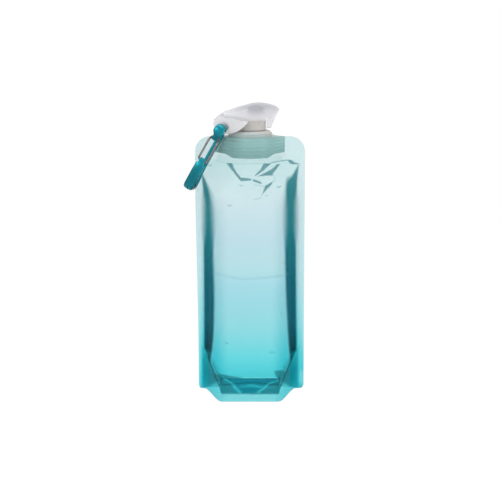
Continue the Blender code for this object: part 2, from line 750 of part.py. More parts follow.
def cross_bar(s, v, radius, half, count=16):
    """A round bar across the carabiner."""
    rings = []
    for w in (-half, half):
        rings.append([carabiner_point(s + radius * math.cos(2 * math.pi * i / count),
                                      v + radius * math.sin(2 * math.pi * i / count), w)
                      for i in range(count)])
    return ring_solid(bmesh.new(), rings, closed=False)


def make_carabiner(finish, eye):
    path = loop_path()
    rings = []
    for i, here in enumerate(path):
        rings.append(bar_ring(path[max(0, i - 1)], here, path[min(len(path) - 1, i + 1)]))
    body = add_object("carabiner_body", ring_solid(bmesh.new(), rings, closed=False), finish)
    tongue = WIRE_SPREAD - WIRE_R - GAP - 0.4 * MM
    apply_booleans(body, [
        ("UNION", box_between((GATE_PIVOT, GATE_PIVOT + 6 * MM),
                              (CARABINER_REACH - 2.4 * MM, CARABINER_REACH + 2.4 * MM), tongue)),
        ("UNION", cross_bar(GATE_PIVOT, CARABINER_REACH, 2.4 * MM, tongue)),
        ("DIFFERENCE", cross_bar(GATE_PIVOT, CARABINER_REACH, WIRE_R + GAP, 2 * tongue))])
    body.data.transform(Matrix.Translation(-eye))
    body.location = eye
    return body


def make_gate(finish, pivot):
    """The wire gate: a closed loop of wire whose foot turns in the block's tongue."""
    reach = CARABINER_REACH
    half = [(GATE_PIVOT, reach, 0.0), (GATE_PIVOT, reach, WIRE_SPREAD - 1.2 * MM),
            (GATE_PIVOT - 0.4 * MM, reach, WIRE_SPREAD - 0.3 * MM),
            (GATE_PIVOT - 1.4 * MM, reach, WIRE_SPREAD),
            (GATE_TOP + 6.0 * MM, reach, WIRE_SPREAD),
            (GATE_TOP + 3.0 * MM, reach - 1.4 * MM, WIRE_SPREAD - 0.2 * MM),
            (GATE_TOP + 1.2 * MM, reach - 3.8 * MM, WIRE_SPREAD - 1.0 * MM),
            (GATE_TOP, reach - 4.6 * MM, WIRE_SPREAD - 2.6 * MM), (GATE_TOP, reach - 4.6 * MM, 0.0)]
    path = half + [(s, v, -w) for s, v, w in reversed(half[1:-1])]
    points = [Vector(p) for p in path]
    sides = 8
    rings = []
    for i, here in enumerate(points):
        before, after = points[i - 1], points[(i + 1) % len(points)]
        along = ((here - before).normalized() + (after - here).normalized()).normalized()
        first = Vector((0, 1, 0)) if abs(along.y) < 0.9 else Vector((1, 0, 0))
        first = (first - along * first.dot(along)).normalized()
        second = along.cross(first)
        rings.append([carabiner_point(*(here + (first * math.cos(2 * math.pi * k / sides)
                                                + second * math.sin(2 * math.pi * k / sides)) * WIRE_R))
                      for k in range(sides)])
    return add_object("carabiner_gate", ring_solid(bmesh.new(), rings), finish, pivot)


def clear_scene():
    for obj in list(bpy.data.objects):
        bpy.data.objects.remove(obj)


def main():
    clear_scene()
    film = material("film", (0.42, 0.80, 0.84), 0.25, alpha=0.7)
    neck = material("neck_polyethylene", (0.35, 0.62, 0.58), 0.45)
    clear = material("frosted_polypropylene", (0.84, 0.84, 0.85), 0.4)
    silicone = material("silicone", (0.60, 0.61, 0.64), 0.6)
    teal = material("anodised_aluminium", (0.02, 0.42, 0.48), 0.3, metallic=0.6)
    steel = material("steel_wire", (0.55, 0.53, 0.52), 0.25, metallic=1.0)

    make_panel("front_panel", -1, film)
    make_panel("back_panel", 1, film)
    make_gusset(film)
    make_neck(neck)
    make_gasket(silicone)
    make_cap(clear)
    make_spout(clear)
    hinge = Vector((HINGE_X, 0, HINGE_Z))
    make_lid(clear, hinge)
    make_lid_seal(silicone, hinge)
    make_pin(clear, hinge)
    make_carabiner(teal, Vector((EYE_X, SPINE_Y, DECK_TOP - EYE_DROP)))
    make_gate(steel, carabiner_point(GATE_PIVOT, CARABINER_REACH))


main()
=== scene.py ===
import math

import bmesh
import bpy
import numpy as np
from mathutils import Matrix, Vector


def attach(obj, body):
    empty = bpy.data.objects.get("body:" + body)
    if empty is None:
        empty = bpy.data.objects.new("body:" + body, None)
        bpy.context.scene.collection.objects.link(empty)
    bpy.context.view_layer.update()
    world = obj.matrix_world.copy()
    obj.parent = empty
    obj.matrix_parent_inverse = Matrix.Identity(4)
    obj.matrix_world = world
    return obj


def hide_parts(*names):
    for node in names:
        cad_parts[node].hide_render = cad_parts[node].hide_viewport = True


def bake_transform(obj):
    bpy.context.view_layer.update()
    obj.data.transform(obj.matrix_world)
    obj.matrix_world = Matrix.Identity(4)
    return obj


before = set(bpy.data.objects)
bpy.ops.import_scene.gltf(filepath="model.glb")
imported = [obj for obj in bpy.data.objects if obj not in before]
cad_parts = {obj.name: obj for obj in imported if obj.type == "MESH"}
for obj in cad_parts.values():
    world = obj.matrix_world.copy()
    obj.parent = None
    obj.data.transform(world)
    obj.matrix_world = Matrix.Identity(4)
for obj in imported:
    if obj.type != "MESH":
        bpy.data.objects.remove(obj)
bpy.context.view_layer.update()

mm = 0.001

# Sizes in mm that the film shares with the CAD panels
pouch = {
    "halfWidth": 54.2, "height": 261.5, "sealWidth": 8.3, "film": 0.5, "gap": 0.3,
    "bellyDepth": 31.0, "footDepth": 29.2, "cornerDrop": 3.0, "sideWall": 9.2,
    "topCorner": 15.0, "footCorner": 4.0, "sealFoot": 6.0, "hem": 8.5, "hemHalf": 29.0, "weldBend": 0.7,
    "gussetHeight": 45.0, "shoulderDrop": 62.0, "shoulderMargin": 3.0, "bodyRadius": 23.6, "wingHalf": 34.4,
    "tipRadius": 1.0, "weldHeight": 19.5, "neckRise": 5.7, "travel": 27.0,
    # How soft its folds are and how deep
    "edgeRounding": 2.4, "roundedBelow": 226, "roundingFade": 12, "roundingGain": 0.25,
    "wobble": 0.35, "creaseDepth": 1.3, "creaseRidge": 0.5, "creaseEdge": 0.55, "creaseFoot": 195,
    "footBend": 12.8, "leftTrim": 2.4,
    # What is left of its depth when flat: a share and a gap, and the height from which it is held
    "flatShare": 0.08, "flatGap": 0.6, "heldFrom": 203, "heldOver": 36,
    # Cells and reach of the table of depths
    "cell": 0.4, "tableWide": 56, "tableHigh": 270,
    # Columns and rows of each wall's mesh; the rows lie closer at the foot and under the neck
    "frontGrid": (137, 310), "backGrid": (91, 190), "rowShares": [0, 0.31, 0.53, 1],
    "heightShares": [0, 0.25, 0.72, 1],
}
# The film's looks, seen through both walls: the lists run by height in mm from the floor
filmLook = {
    "body": [(0, "36bdc8"), (30, "5cd9e1"), (52, "82dae2"), (75, "9cdbe2"), (100, "a4dae4"),
             (122, "b3dde6"), (133, "bee0e4"), (160, "c4dee7"), (200, "d5e5e9"), (236, "cae3e4")],
    "seal": [(0, "54c2cd"), (8, "4fc1cb"), (12, "33ccd8"), (45, "5fd3da"), (75, "98dce3"),
             (120, "bde1e6"), (180, "cfe1e5"), (240, "d4e6e8")],
    # Painted shade: the deep teal of the film seen edge on at the side walls
    "wall": [(45, "043844"), (75, "045766"), (120, "086070"), (170, "14767f"), (205, "2d7e86"),
             (235, "569498")],
    "corner": [(8, "4fbcc4"), (16, "22a5ad"), (26, "1799a4"), (36, "22a8af"), (43, "40c0c6")],
    # Painted shade, multiplied in where the belly turns to the side and along the seals' inner edge
    "side": [(35, "90e2e8"), (75, "cdebee"), (120, "dfecee"), (200, "e8f0f1")],
    "foot": "effbfc",
    "pale": "d6f1f4",
    # Painted shade at the corner welds' kinks; on the back wall, the floor's dark edge
    "kink": "23838d",
    # Painted shade in the folds and round the droplets, and a seam line by the top seal
    "crease": "3f8d95",
    # Fold lines in painted shade, the level line, and a painted shadow under the neck
    "line": "86bcc2",
    "veil": 0.14, "bareVeil": 0.02,  # how much of the sheen covers the film, and its bare foot
    "waves": 60.0, "ripples": 420.0,  # waves of 17 mm and ripples of 2.4 mm
}
sealEdge = pouch["halfWidth"] - pouch["sealWidth"]
weldLow = pouch["height"] - pouch["weldHeight"]


# A colour written as sRGB hex, as the numbers that shaders read
def linear(hexColour):
    parts = [int(hexColour[i:i + 2], 16) / 255 for i in (0, 2, 4)]
    return tuple(c / 12.92 if c < 0.04045 else ((c + 0.055) / 1.055) ** 2.4 for c in parts) + (1.0,)


def smooth(t):
    t = np.clip(t, 0.0, 1.0)
    return t * t * (3 - 2 * t)


# 0 as far as start, 1 from start + width on
def rising(value, start, width):
    return smooth((value - start) / width)


# 1 as far as end - width, 0 from end on
def falling(value, end, width):
    return smooth((end - value) / width)


def mix(a, b, t):
    return a + (b - a) * t


# Shape of the film, in mm, the same as the CAD panels before rounding


def sealDepth():
    return pouch["gap"] / 2 + pouch["film"]


def neckDepth(x):
    big = pouch["bodyRadius"] + pouch["gap"] + pouch["film"]
    small = pouch["tipRadius"] + pouch["gap"] + pouch["film"]
    tip = pouch["wingHalf"] - pouch["tipRadius"]
    cosine = (pouch["bodyRadius"] - pouch["tipRadius"]) / tip
    sine = math.sqrt(1 - cosine * cosine)
    meetX, meetY = tip + small * cosine, small * sine
    arc = np.sqrt(np.maximum(big * big - x * x, 0.0))
    side = np.maximum(meetY - (x - meetX) * cosine / sine, sealDepth())
    return np.where(x <= big * cosine, arc, side)


def bellyDepth(x, z):
    share = rising(z, pouch["hem"], pouch["gussetHeight"] - pouch["hem"])
    cornerX = mix(pouch["hemHalf"], sealEdge - pouch["sideWall"], share)
    middle = mix(pouch["footDepth"], pouch["bellyDepth"], rising(z, pouch["hem"], 2 * pouch["gussetHeight"]))
    corner = middle - pouch["cornerDrop"] * share
    inside = mix(middle, corner, (x / cornerX) ** 2)
    outside = mix(corner, sealDepth(), np.clip((x - cornerX) / (sealEdge - cornerX), 0, 1))
    return np.where(x <= cornerX, inside, outside)


def plainDepth(x, z):
    low = pouch["height"] - pouch["shoulderDrop"]
    share = rising(z, low, weldLow - pouch["shoulderMargin"] - low)
    return mix(bellyDepth(x, z), neckDepth(x), share)


# A running mean along both axes, done twice, which rounds the film's folds
def blurred(values, cells):
    width = 2 * cells + 1
    for axis in (0, 1, 0, 1):
        before = np.flip(np.take(values, range(1, cells + 1), axis), axis)
        after = np.flip(np.take(values, range(-cells - 1, -1), axis), axis)
        total = np.cumsum(np.concatenate([before, values, after], axis), axis)
        total = np.insert(total, 0, 0, axis)
        count = values.shape[axis]
        upper = np.take(total, range(width, width + count), axis)
        values = (upper - np.take(total, range(count), axis)) / width
    return values


depthX = np.arange(0, pouch["tableWide"], pouch["cell"])
depthZ = np.arange(0, pouch["tableHigh"], pouch["cell"])
rawDepth = plainDepth(depthX[:, None], depthZ[None, :])
softDepth = blurred(rawDepth, int(round(pouch["edgeRounding"] / pouch["cell"] / 2)))
softDepth = mix(softDepth, rawDepth, rising(depthZ, pouch["roundedBelow"], pouch["roundingFade"])[None, :])
softDepth = mix(softDepth, rawDepth, rising(depthX, sealEdge - 1.0, 2)[:, None])
softDepth = np.minimum(softDepth, rawDepth + pouch["roundingGain"])


# Depth of the rounded film's outer face, read between the cells of the table
def filmDepth(x, z):
    i = np.clip(np.abs(x) / pouch["cell"], 0, len(depthX) - 1.001)
    k = np.clip(z / pouch["cell"], 0, len(depthZ) - 1.001)
    i0, k0 = i.astype(int), k.astype(int)
    a, b = i - i0, k - k0
    lower = softDepth[i0, k0] * (1 - a) + softDepth[i0 + 1, k0] * a
    upper = softDepth[i0, k0 + 1] * (1 - a) + softDepth[i0 + 1, k0 + 1] * a
    return lower * (1 - b) + upper * b


def filmFoot(x):
    x = np.abs(x)
    rise = pouch["sealFoot"] * rising(x, pouch["hemHalf"], sealEdge - pouch["hemHalf"])
    over = np.clip(x - (pouch["halfWidth"] - pouch["footCorner"]), 0, pouch["footCorner"])
    return rise + pouch["footCorner"] - np.sqrt(pouch["footCorner"] ** 2 - over ** 2)


def filmTop(x):
    x = np.abs(x)
    over = np.clip(x - (pouch["halfWidth"] - pouch["topCorner"]), 0, pouch["topCorner"])
    corner = pouch["height"] - pouch["topCorner"] + np.sqrt(pouch["topCorner"] ** 2 - over ** 2)
    rise = pouch["neckRise"] * np.maximum(0, 1 - (x / (pouch["bodyRadius"] + pouch["gap"])) ** 2) ** 0.6
    return corner + rise


# How far a point lies between the hem's end, 0, and the side seal, 1
def towardSeal(x):
    return (np.abs(x) - pouch["hemHalf"]) / (sealEdge - pouch["hemHalf"])


# Height of the slanted weld between film and gusset
def weldHeight(x):
    share = np.clip(towardSeal(x), 0, None)
    return mix(pouch["hem"], pouch["gussetHeight"], share ** pouch["weldBend"])


# Masks painted on the film, 0 where they are off


# How far points lie from the line from a to b, all as (x, z)
def fromSegment(x, z, a, b):
    dx, dz = b[0] - a[0], b[1] - a[1]
    t = np.clip(((x - a[0]) * dx + (z - a[1]) * dz) / (dx ** 2 + dz ** 2), 0, 1)
    return np.hypot(x - a[0] - t * dx, z - a[1] - t * dz)


# 1 inside the polygon of (x, z) corners, fading over edge mm at its outline
def insideShape(x, z, corners, edge):
    inside = np.zeros(x.shape, bool)
    nearest = np.full(x.shape, 1e9)
    for (ax, az), (bx, bz) in zip(corners, corners[1:] + corners[:1]):
        inside ^= ((az > z) != (bz > z)) & (x < (bx - ax) * (z - az) / ((bz - az) or 1e-9) + ax)
        nearest = np.minimum(nearest, fromSegment(x, z, (ax, az), (bx, bz)))
    return smooth(np.where(inside, nearest, -nearest) / edge * 0.5 + 0.5)


# 1 on the line through the points, fading to 0 at width mm
def alongLine(x, z, points, width):
    nearest = np.full(x.shape, 1e9)
    for a, b in zip(points, points[1:]):
        nearest = np.minimum(nearest, fromSegment(x, z, a, b))
    return smooth(1 - nearest / width)


# Folded facets of the front wall under the neck, as (x, z) corners in mm: pressed into the film and painted
# in shade
creaseShapes = [
    [(-23.1, 236.3), (-17.2, 236.9), (-15.7, 232.4), (-13.1, 228.5), (-8.9, 223.7), (-3.7, 223.5),
     (1.2, 222.8), (1.5, 221.3), (-3.2, 220.8), (-8.9, 220.6), (-11.0, 222.6), (-16.2, 228.8)],
    [(13.4, 237.0), (20.8, 236.5), (15.6, 232.4), (13.5, 230.5), (8.2, 227.2), (4.6, 225.2), (5.1, 226.4),
     (10.3, 231.5)],
    [(29.6, 234.8), (26.4, 235.1), (24.5, 233.0), (20.8, 230.6), (15.6, 228.4), (7.2, 225.0), (15.6, 225.3),
     (22.4, 225.0), (22.1, 226.5), (24.8, 229.2)],
    [(3.1, 222.5), (8.2, 220.7), (11.5, 218.7), (10.3, 217.8), (5.1, 219.7), (2.8, 220.8)],
    [(22.6, 219.7), (14.5, 215.7), (14.1, 214.0), (11.8, 208.0), (15.5, 211.7), (20.8, 216.6)],
    [(36.9, 238.3), (40.0, 238.2), (44.3, 235.5), (48.2, 234.8), (46.9, 233.9), (41.1, 234.1), (38.4, 235.7)],
]
# Fold lines of the front wall, as (x, z) points in mm, painted in shade
creaseLines = [
    [(4.1, 217.2), (9.8, 216.4), (14.0, 215.2)], [(3.6, 203.2), (10.3, 204.4), (11.9, 208.3)],
    [(22.9, 224.7), (24.2, 221.7), (23.4, 219.9)],
    [(-33.2, 238.4), (-28.4, 237.1), (-23.1, 236.5), (-4.2, 237.3), (13.5, 237.1)],
]
sealLine = [(20.8, 237.2), (28.8, 237.7), (37.5, 238.0)]
levelLine = [(-36, 130.9), (-25, 127.8), (-10, 124.9), (10, 125.4), (37, 128.2)]
# Droplets as (x, z, radius) in mm, drawn as rings of painted shade
droplets = [
    (-39.6, 233.3, 1.4), (-8.9, 216.9, 1.2), (28.0, 214.7, 1.5), (-19.6, 197.7, 1.6), (31.3, 89.2, 0.7),
    (-22.9, 59.9, 1.3), (21.5, 50.8, 1.7), (16.2, 207.0, 0.6), (33.0, 141.0, 0.7), (26.0, 231.9, 0.7),
]
# Outlines of the side walls' painted shade, the deep teal of film seen edge on, as (x, z) in mm: they differ
# a little left and right
wallShapes = [
    [(-48.4, 227.0), (-45.2, 221.0), (-40.9, 210.6), (-37.2, 198.0), (-36.2, 172.8), (-36.6, 141.1),
     (-35.6, 103.2), (-36.3, 68.0), (-37.6, 50.0), (-39.6, 37.0), (-43.0, 42.5), (-46.2, 47.0),
     (-46.0, 97.2), (-46.1, 148.1), (-45.7, 193.4), (-46.6, 212.0)],
    [(48.2, 234.2), (46.6, 218.3), (45.8, 193.4), (45.7, 158.4), (46.3, 97.2), (46.9, 56.0), (46.8, 44.5),
     (40.2, 37.5), (39.3, 45.5), (38.9, 53.3), (38.0, 63.5), (36.0, 103.2), (34.9, 141.1), (34.6, 177.8),
     (34.4, 200.0), (35.8, 217.0), (37.0, 219.5), (41.4, 222.4)],
]
# Pale wedge on the back wall beside the floor, the same left and right
footWedge = [(31.0, 8.8), (36.9, 7.4), (42.5, 2.8), (34.0, -3.0)]
# Dark tips on the back wall, where the floor's far edge climbs to the corner welds
floorTips = [
    [(-38.0, 16.4), (-29.5, 12.6), (-20.4, 10.6), (-8.0, 8.8), (-11.2, 7.9), (-27.3, 7.3), (-30.5, 5.5),
     (-33.2, 5.5)],
    [(25.0, 15.4), (38.4, 19.2), (35.8, 12.7), (33.2, 5.5), (30.5, 5.5), (28.9, 8.0), (27.0, 9.9)],
]
# How strongly the marks show, and the sizes in mm that they share
paint = {
    "weldTop": 238.2, "weldDip": 2.2, "weldHalf": 30, "kinkLeft": 0.7, "kinkRight": 0.9, "kinkSlope": 2.3,
    "wedge": 0.8, "flank": 0.9, "bare": 0.8, "bareTop": 25.4, "soft": 0.8, "sealLine": 0.9, "creaseLine": 0.8,
    "droplet": 0.65, "level": 0.5, "neckShadow": 0.22, "sealEdgeShade": 1.2, "rim": 0.35, "patch": 0.22,
}


# Marks on the front wall only: corner welds with painted shade along their kinks, creases and droplets in
# painted shade, and the level line
def frontMarks(x, z):
    ax = np.abs(x)
    weld = weldHeight(x)
    fade = falling(ax, 51.0, 6.0) * rising(z + 0.8 * np.maximum(ax - 33, 0), 14, 6)  # toward rim and floor
    # kink: painted shade along the film's bend at the corner welds
    slope = np.where(ax > pouch["hemHalf"] + 0.5, paint["kinkSlope"], 0.0)
    wide = (0.8 + 0.3 * rising(z, 15, 20)) * np.sqrt(1 + slope ** 2)
    kink = smooth(1.3 - np.abs(weld - 0.3 - z) / wide) * (ax < sealEdge - 1)
    # crease: a seam line by the top seal, and painted shade in the folds and round the droplets
    crease = paint["sealLine"] * alongLine(x, z, sealLine, 0.8)
    for shape in creaseShapes:
        crease = np.maximum(crease, insideShape(x, z, shape, pouch["creaseEdge"]))
    for dropX, dropZ, radius in droplets:
        away = np.hypot(x - dropX, (z - dropZ) * 1.5)  # flattened rings, open at their top
        ring = smooth(1 - np.abs(away - radius) / 0.9) * (z < dropZ + 0.3 * radius)
        crease = np.maximum(crease, paint["droplet"] * ring)
    # line: the level line, and fold lines in painted shade
    line = paint["level"] * alongLine(x, z, levelLine, 1.5)
    for path in creaseLines:
        line = np.maximum(line, paint["creaseLine"] * alongLine(x, z, path, 0.7))
    floorShown = falling(z, paint["bareTop"], 2) * rising(z, pouch["hem"], 1.5) * falling(ax, 31.0, 2)
    return {"corner": smooth((weld - z) / 1.4 + 0.5) * fade, "crease": crease, "line": line,
            "kink": kink * np.where(x < 0, paint["kinkLeft"], paint["kinkRight"]),
            "foot": np.zeros(x.shape), "bare": paint["bare"] * floorShown}


# Marks on the back wall only: its clear foot, the pale wedges and the dark tips beside the floor
def backMarks(x, z):
    ax = np.abs(x)
    foot = falling(z, 8.8, 0.6) * falling(ax, 31.5, 1.5)
    foot = np.maximum(foot, paint["wedge"] * insideShape(ax, z, footWedge, paint["soft"]))
    bare = foot
    kink = paint["flank"] * rising(ax, 29, 1.5) * falling(ax, 36.5, 1.5)
    kink = kink * rising(z, 0.5, 1) * falling(z, 13, 1.5)
    for shape in floorTips:
        tip = insideShape(x, z, shape, paint["soft"])
        kink = np.maximum(kink, tip)
        foot = foot * (1 - tip)
    nothing = np.zeros(x.shape)
    return {"corner": nothing, "crease": nothing, "line": nothing, "kink": kink, "foot": foot, "bare": bare}


# All the masks for points of a film wall
def paintedMasks(x, z, front):
    ax = np.abs(x)
    masks = frontMarks(x, z) if front else backMarks(x, z)
    seal = rising(ax, sealEdge - 0.6, 1.0)
    weldTop = paint["weldTop"] - paint["weldDip"] * np.clip(1 - (ax / paint["weldHalf"]) ** 2, 0, 1)
    hem = smooth((pouch["hem"] - z) / 0.8 + 0.5)
    masks["seal"] = np.maximum(np.maximum(seal, rising(z, weldTop, 0.9)), hem)
    edge = 1.2 + 3.0 * falling(z, 212, 20) * rising(z, 150, 20)  # the dark walls' edges are softest high up
    masks["wall"] = np.maximum(insideShape(x, z, wallShapes[0], edge), insideShape(x, z, wallShapes[1], edge))
    # Painted shadow under the neck, laid into the line mask
    shadow = rising(z, 237.5, 1.2) * falling(ax, 33, 3) * falling(z, 243.5, 1.5)
    masks["line"] = np.maximum(masks["line"], paint["neckShadow"] * shadow)
    # side: painted shade where the belly turns to the side
    flank = rising(ax, 20, 17) * falling(z, 215, 30) * (ax < sealEdge)  # the belly's turn to the side
    # Painted shade along the seals' inner edge
    beside = falling(ax, 49.6, 2.6) * (ax > sealEdge - 1) * falling(z, 230, 90)  # the seal's inner edge
    masks["side"] = np.maximum(flank, paint["sealEdgeShade"] * beside)
    rim = rising(ax, 51.0, 2.4) * falling(z, 235, 60) * np.where(x < 0, 1, rising(z, 25, 40))
    patch = smooth((1.0 - np.hypot((x - 52.6) / 3.2, (z - 17) / 9.5)) / 0.35)
    masks["pale"] = np.maximum(paint["rim"] * rim, paint["patch"] * patch)
    return masks


# Slow waves that a thin film always has, in mm
def wobble(x, z, phase):
    wide = 0.5 * np.sin(x / 9.0 + 1.3 * np.sin(z / 31.0) + phase)
    long = 0.35 * np.sin(z / 17.0 + x / 23.0 + 2 * phase)
    return wide + long + 0.25 * np.sin(x / 4.7 - z / 41.0)


# Meshes


def newObject(name, data):
    obj = bpy.data.objects.new(name, data)
    bpy.context.scene.collection.objects.link(obj)
    return obj


# A closed sheet from a grid of outer points in mm: its inner face lies thickness inside
def sheetObject(name, points, masks, thickness, materials, outward):
    rows, columns = points.shape[:2]
    normal = np.cross(np.gradient(points, axis=0), np.gradient(points, axis=1))
    normal /= np.linalg.norm(normal, axis=2)[..., None] + 1e-12
    flip = outward * normal[rows // 2, 1, 1] < 0
    if flip:
        normal = -normal
    inner = points - normal * thickness
    verts = np.concatenate([points.reshape(-1, 3), inner.reshape(-1, 3)]) * mm
    index = np.arange(rows * columns).reshape(rows, columns)
    corners = (index[:-1, :-1], index[1:, :-1], index[1:, 1:], index[:-1, 1:])
    outer = np.stack([part.ravel() for part in corners], 1)
    loop = np.concatenate([index[:, 0], index[-1, 1:], index[-2::-1, -1], index[0, -2:0:-1]])
    following = np.roll(loop, -1)
    rim = np.stack([loop, loop + rows * columns, following + rows * columns, following], 1)
    if flip:
        outer, rim = outer[:, ::-1], rim[:, ::-1]
    faces = np.concatenate([outer, outer[:, ::-1] + rows * columns, rim])
    mesh = bpy.data.meshes.new(name)
    mesh.vertices.add(len(verts))
    mesh.vertices.foreach_set("co", verts.astype(np.float32).ravel())
    mesh.loops.add(faces.size)
    mesh.loops.foreach_set("vertex_index", faces.ravel().astype(np.int32))
    mesh.polygons.add(len(faces))
    mesh.polygons.foreach_set("loop_start", np.arange(0, faces.size, 4, dtype=np.int32))
    slots = np.zeros(len(faces), np.int32)
    slots[len(outer):2 * len(outer)] = 1
    mesh.update(calc_edges=True)
    mesh.validate()
    for material in materials:
        mesh.materials.append(material)
    mesh.polygons.foreach_set("material_index", slots)
    mesh.shade_smooth()
    for key, values in masks.items():
        both = np.concatenate([values.ravel(), values.ravel()]).astype(np.float32)
        mesh.attributes.new(key, "FLOAT", "POINT").data.foreach_set("value", both)
    return newObject(name, mesh)


# Bakes the piece's place into its mesh and reads its points back in mm
def flattenWith(obj):
    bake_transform(obj)
    place = np.empty(len(obj.data.vertices) * 3, np.float32)
    obj.data.vertices.foreach_get("co", place)
    place = place.reshape(-1, 3) / mm


# One film wall. side is -1 at the front and 1 at the back
def makeWall(name, side, grid, materials):
    columns, rows = grid
    edge = np.linspace(-1, 1, columns)
    x = (pouch["halfWidth"] * (edge * 0.82 + 0.18 * np.sin(edge * math.pi / 2)))[:, None] * np.ones((1, rows))
    share = np.interp(np.linspace(0, 1, rows), pouch["rowShares"], pouch["heightShares"])[None, :]
    z = mix(filmFoot(x), filmTop(x), share)
    ax = np.abs(x)
    masks = paintedMasks(x, z, side < 0)
    depth = filmDepth(x, z)
    # An S-bend of up to 1.2 mm near the floor, where the foot climbs to the side seal
    nearFoot = falling(z, 12, 8) * rising(ax, 24, 4)
    plain = towardSeal(x)
    depth = depth - pouch["footBend"] * nearFoot * (smooth(plain) - np.clip(plain, 0, 1))
    loose = falling(ax, sealEdge - 3, 8) * rising(z, 20, 30) * falling(z, 232, 14)
    depth = depth + pouch["wobble"] * loose * (wobble(x, z, 0.6 if side < 0 else 2.1) - 1.0)
    if side < 0:
        valley = blurred(masks["crease"], 2)
        ridge = np.maximum(0, blurred(masks["crease"], 5) - valley)
        above = rising(z, pouch["creaseFoot"], 6)
        depth = depth - pouch["creaseDepth"] * valley * above
        depth = depth + pouch["creaseRidge"] * ridge * above * falling(z, 236, 4)
    # The left seal grows narrower toward the foot
    trimmed = pouch["leftTrim"] * falling(z, 225, 190) * rising(ax, 46.5, 8) * (x < 0)
    points = np.stack([x + trimmed, side * depth, z], 2)
    return sheetObject(name, points, masks, pouch["film"], materials, side)


print("film colours and materials")


# Adds a node. An input takes a value, a hex colour, a socket, or a node, which links its first live output;
# stops fill a colour ramp, and the settings are the node's own properties
def addNode(tree, kind, place, inputs=(), stops=(), **settings):
    node = tree.nodes.new(kind)
    node.location = place
    for key, value in settings.items():
        setattr(node, key, value)
    for key, value in dict(inputs).items():
        if isinstance(value, bpy.types.Node):
            value = next(socket for socket in value.outputs if socket.enabled)
        if isinstance(value, bpy.types.NodeSocket):
            tree.links.new(value, node.inputs[key])
        else:
            node.inputs[key].default_value = linear(value) if isinstance(value, str) else value
    if stops:
        elements = node.color_ramp.elements
        elements.remove(elements[1])
        elements[0].position = stops[0][0]
        elements[0].color = linear(stops[0][1])
        for position, colour in stops[1:]:
            elements.new(position).color = linear(colour)
    return node


def newMaterial(name):
    made = bpy.data.materials.new(name)
    made.use_nodes = True
    made.node_tree.nodes.clear()
    return made, made.node_tree


# Ends a see-through material: cover is how much of the shell lies over the clear, tinted layer
def finishLayers(tree, cover, tint, shell):
    clear = addNode(tree, "ShaderNodeBsdfTransparent", (700, 300), {"Color": tint})
    both = addNode(tree, "ShaderNodeMixShader", (900, 0), {"Fac": cover, 1: clear, 2: shell})
    addNode(tree, "ShaderNodeOutputMaterial", (1100, 0), {"Surface": both})


# An object's coordinates, and its height as a share of top mm
def heightShare(tree, top, place):
    coordinates = addNode(tree, "ShaderNodeTexCoord", place).outputs["Object"]
    split = addNode(tree, "ShaderNodeSeparateXYZ", (place[0] + 180, place[1]), {"Vector": coordinates})
    share = addNode(tree, "ShaderNodeMath", (place[0] + 360, place[1]),
                    {0: split.outputs["Z"], 1: 1 / (top * mm)}, operation="MULTIPLY")
    return coordinates, share


# Lays a colour over what is below it, where the piece's mask is on
def paintOver(tree, below, mask, colour, place, blend="MIX"):
    shown = addNode(tree, "ShaderNodeAttribute", (place[0] - 150, place[1] + 250), attribute_name=mask)
    return addNode(tree, "ShaderNodeMix", place, {0: shown.outputs["Fac"], 6: below, 7: colour},
                   data_type="RGBA", blend_type=blend)


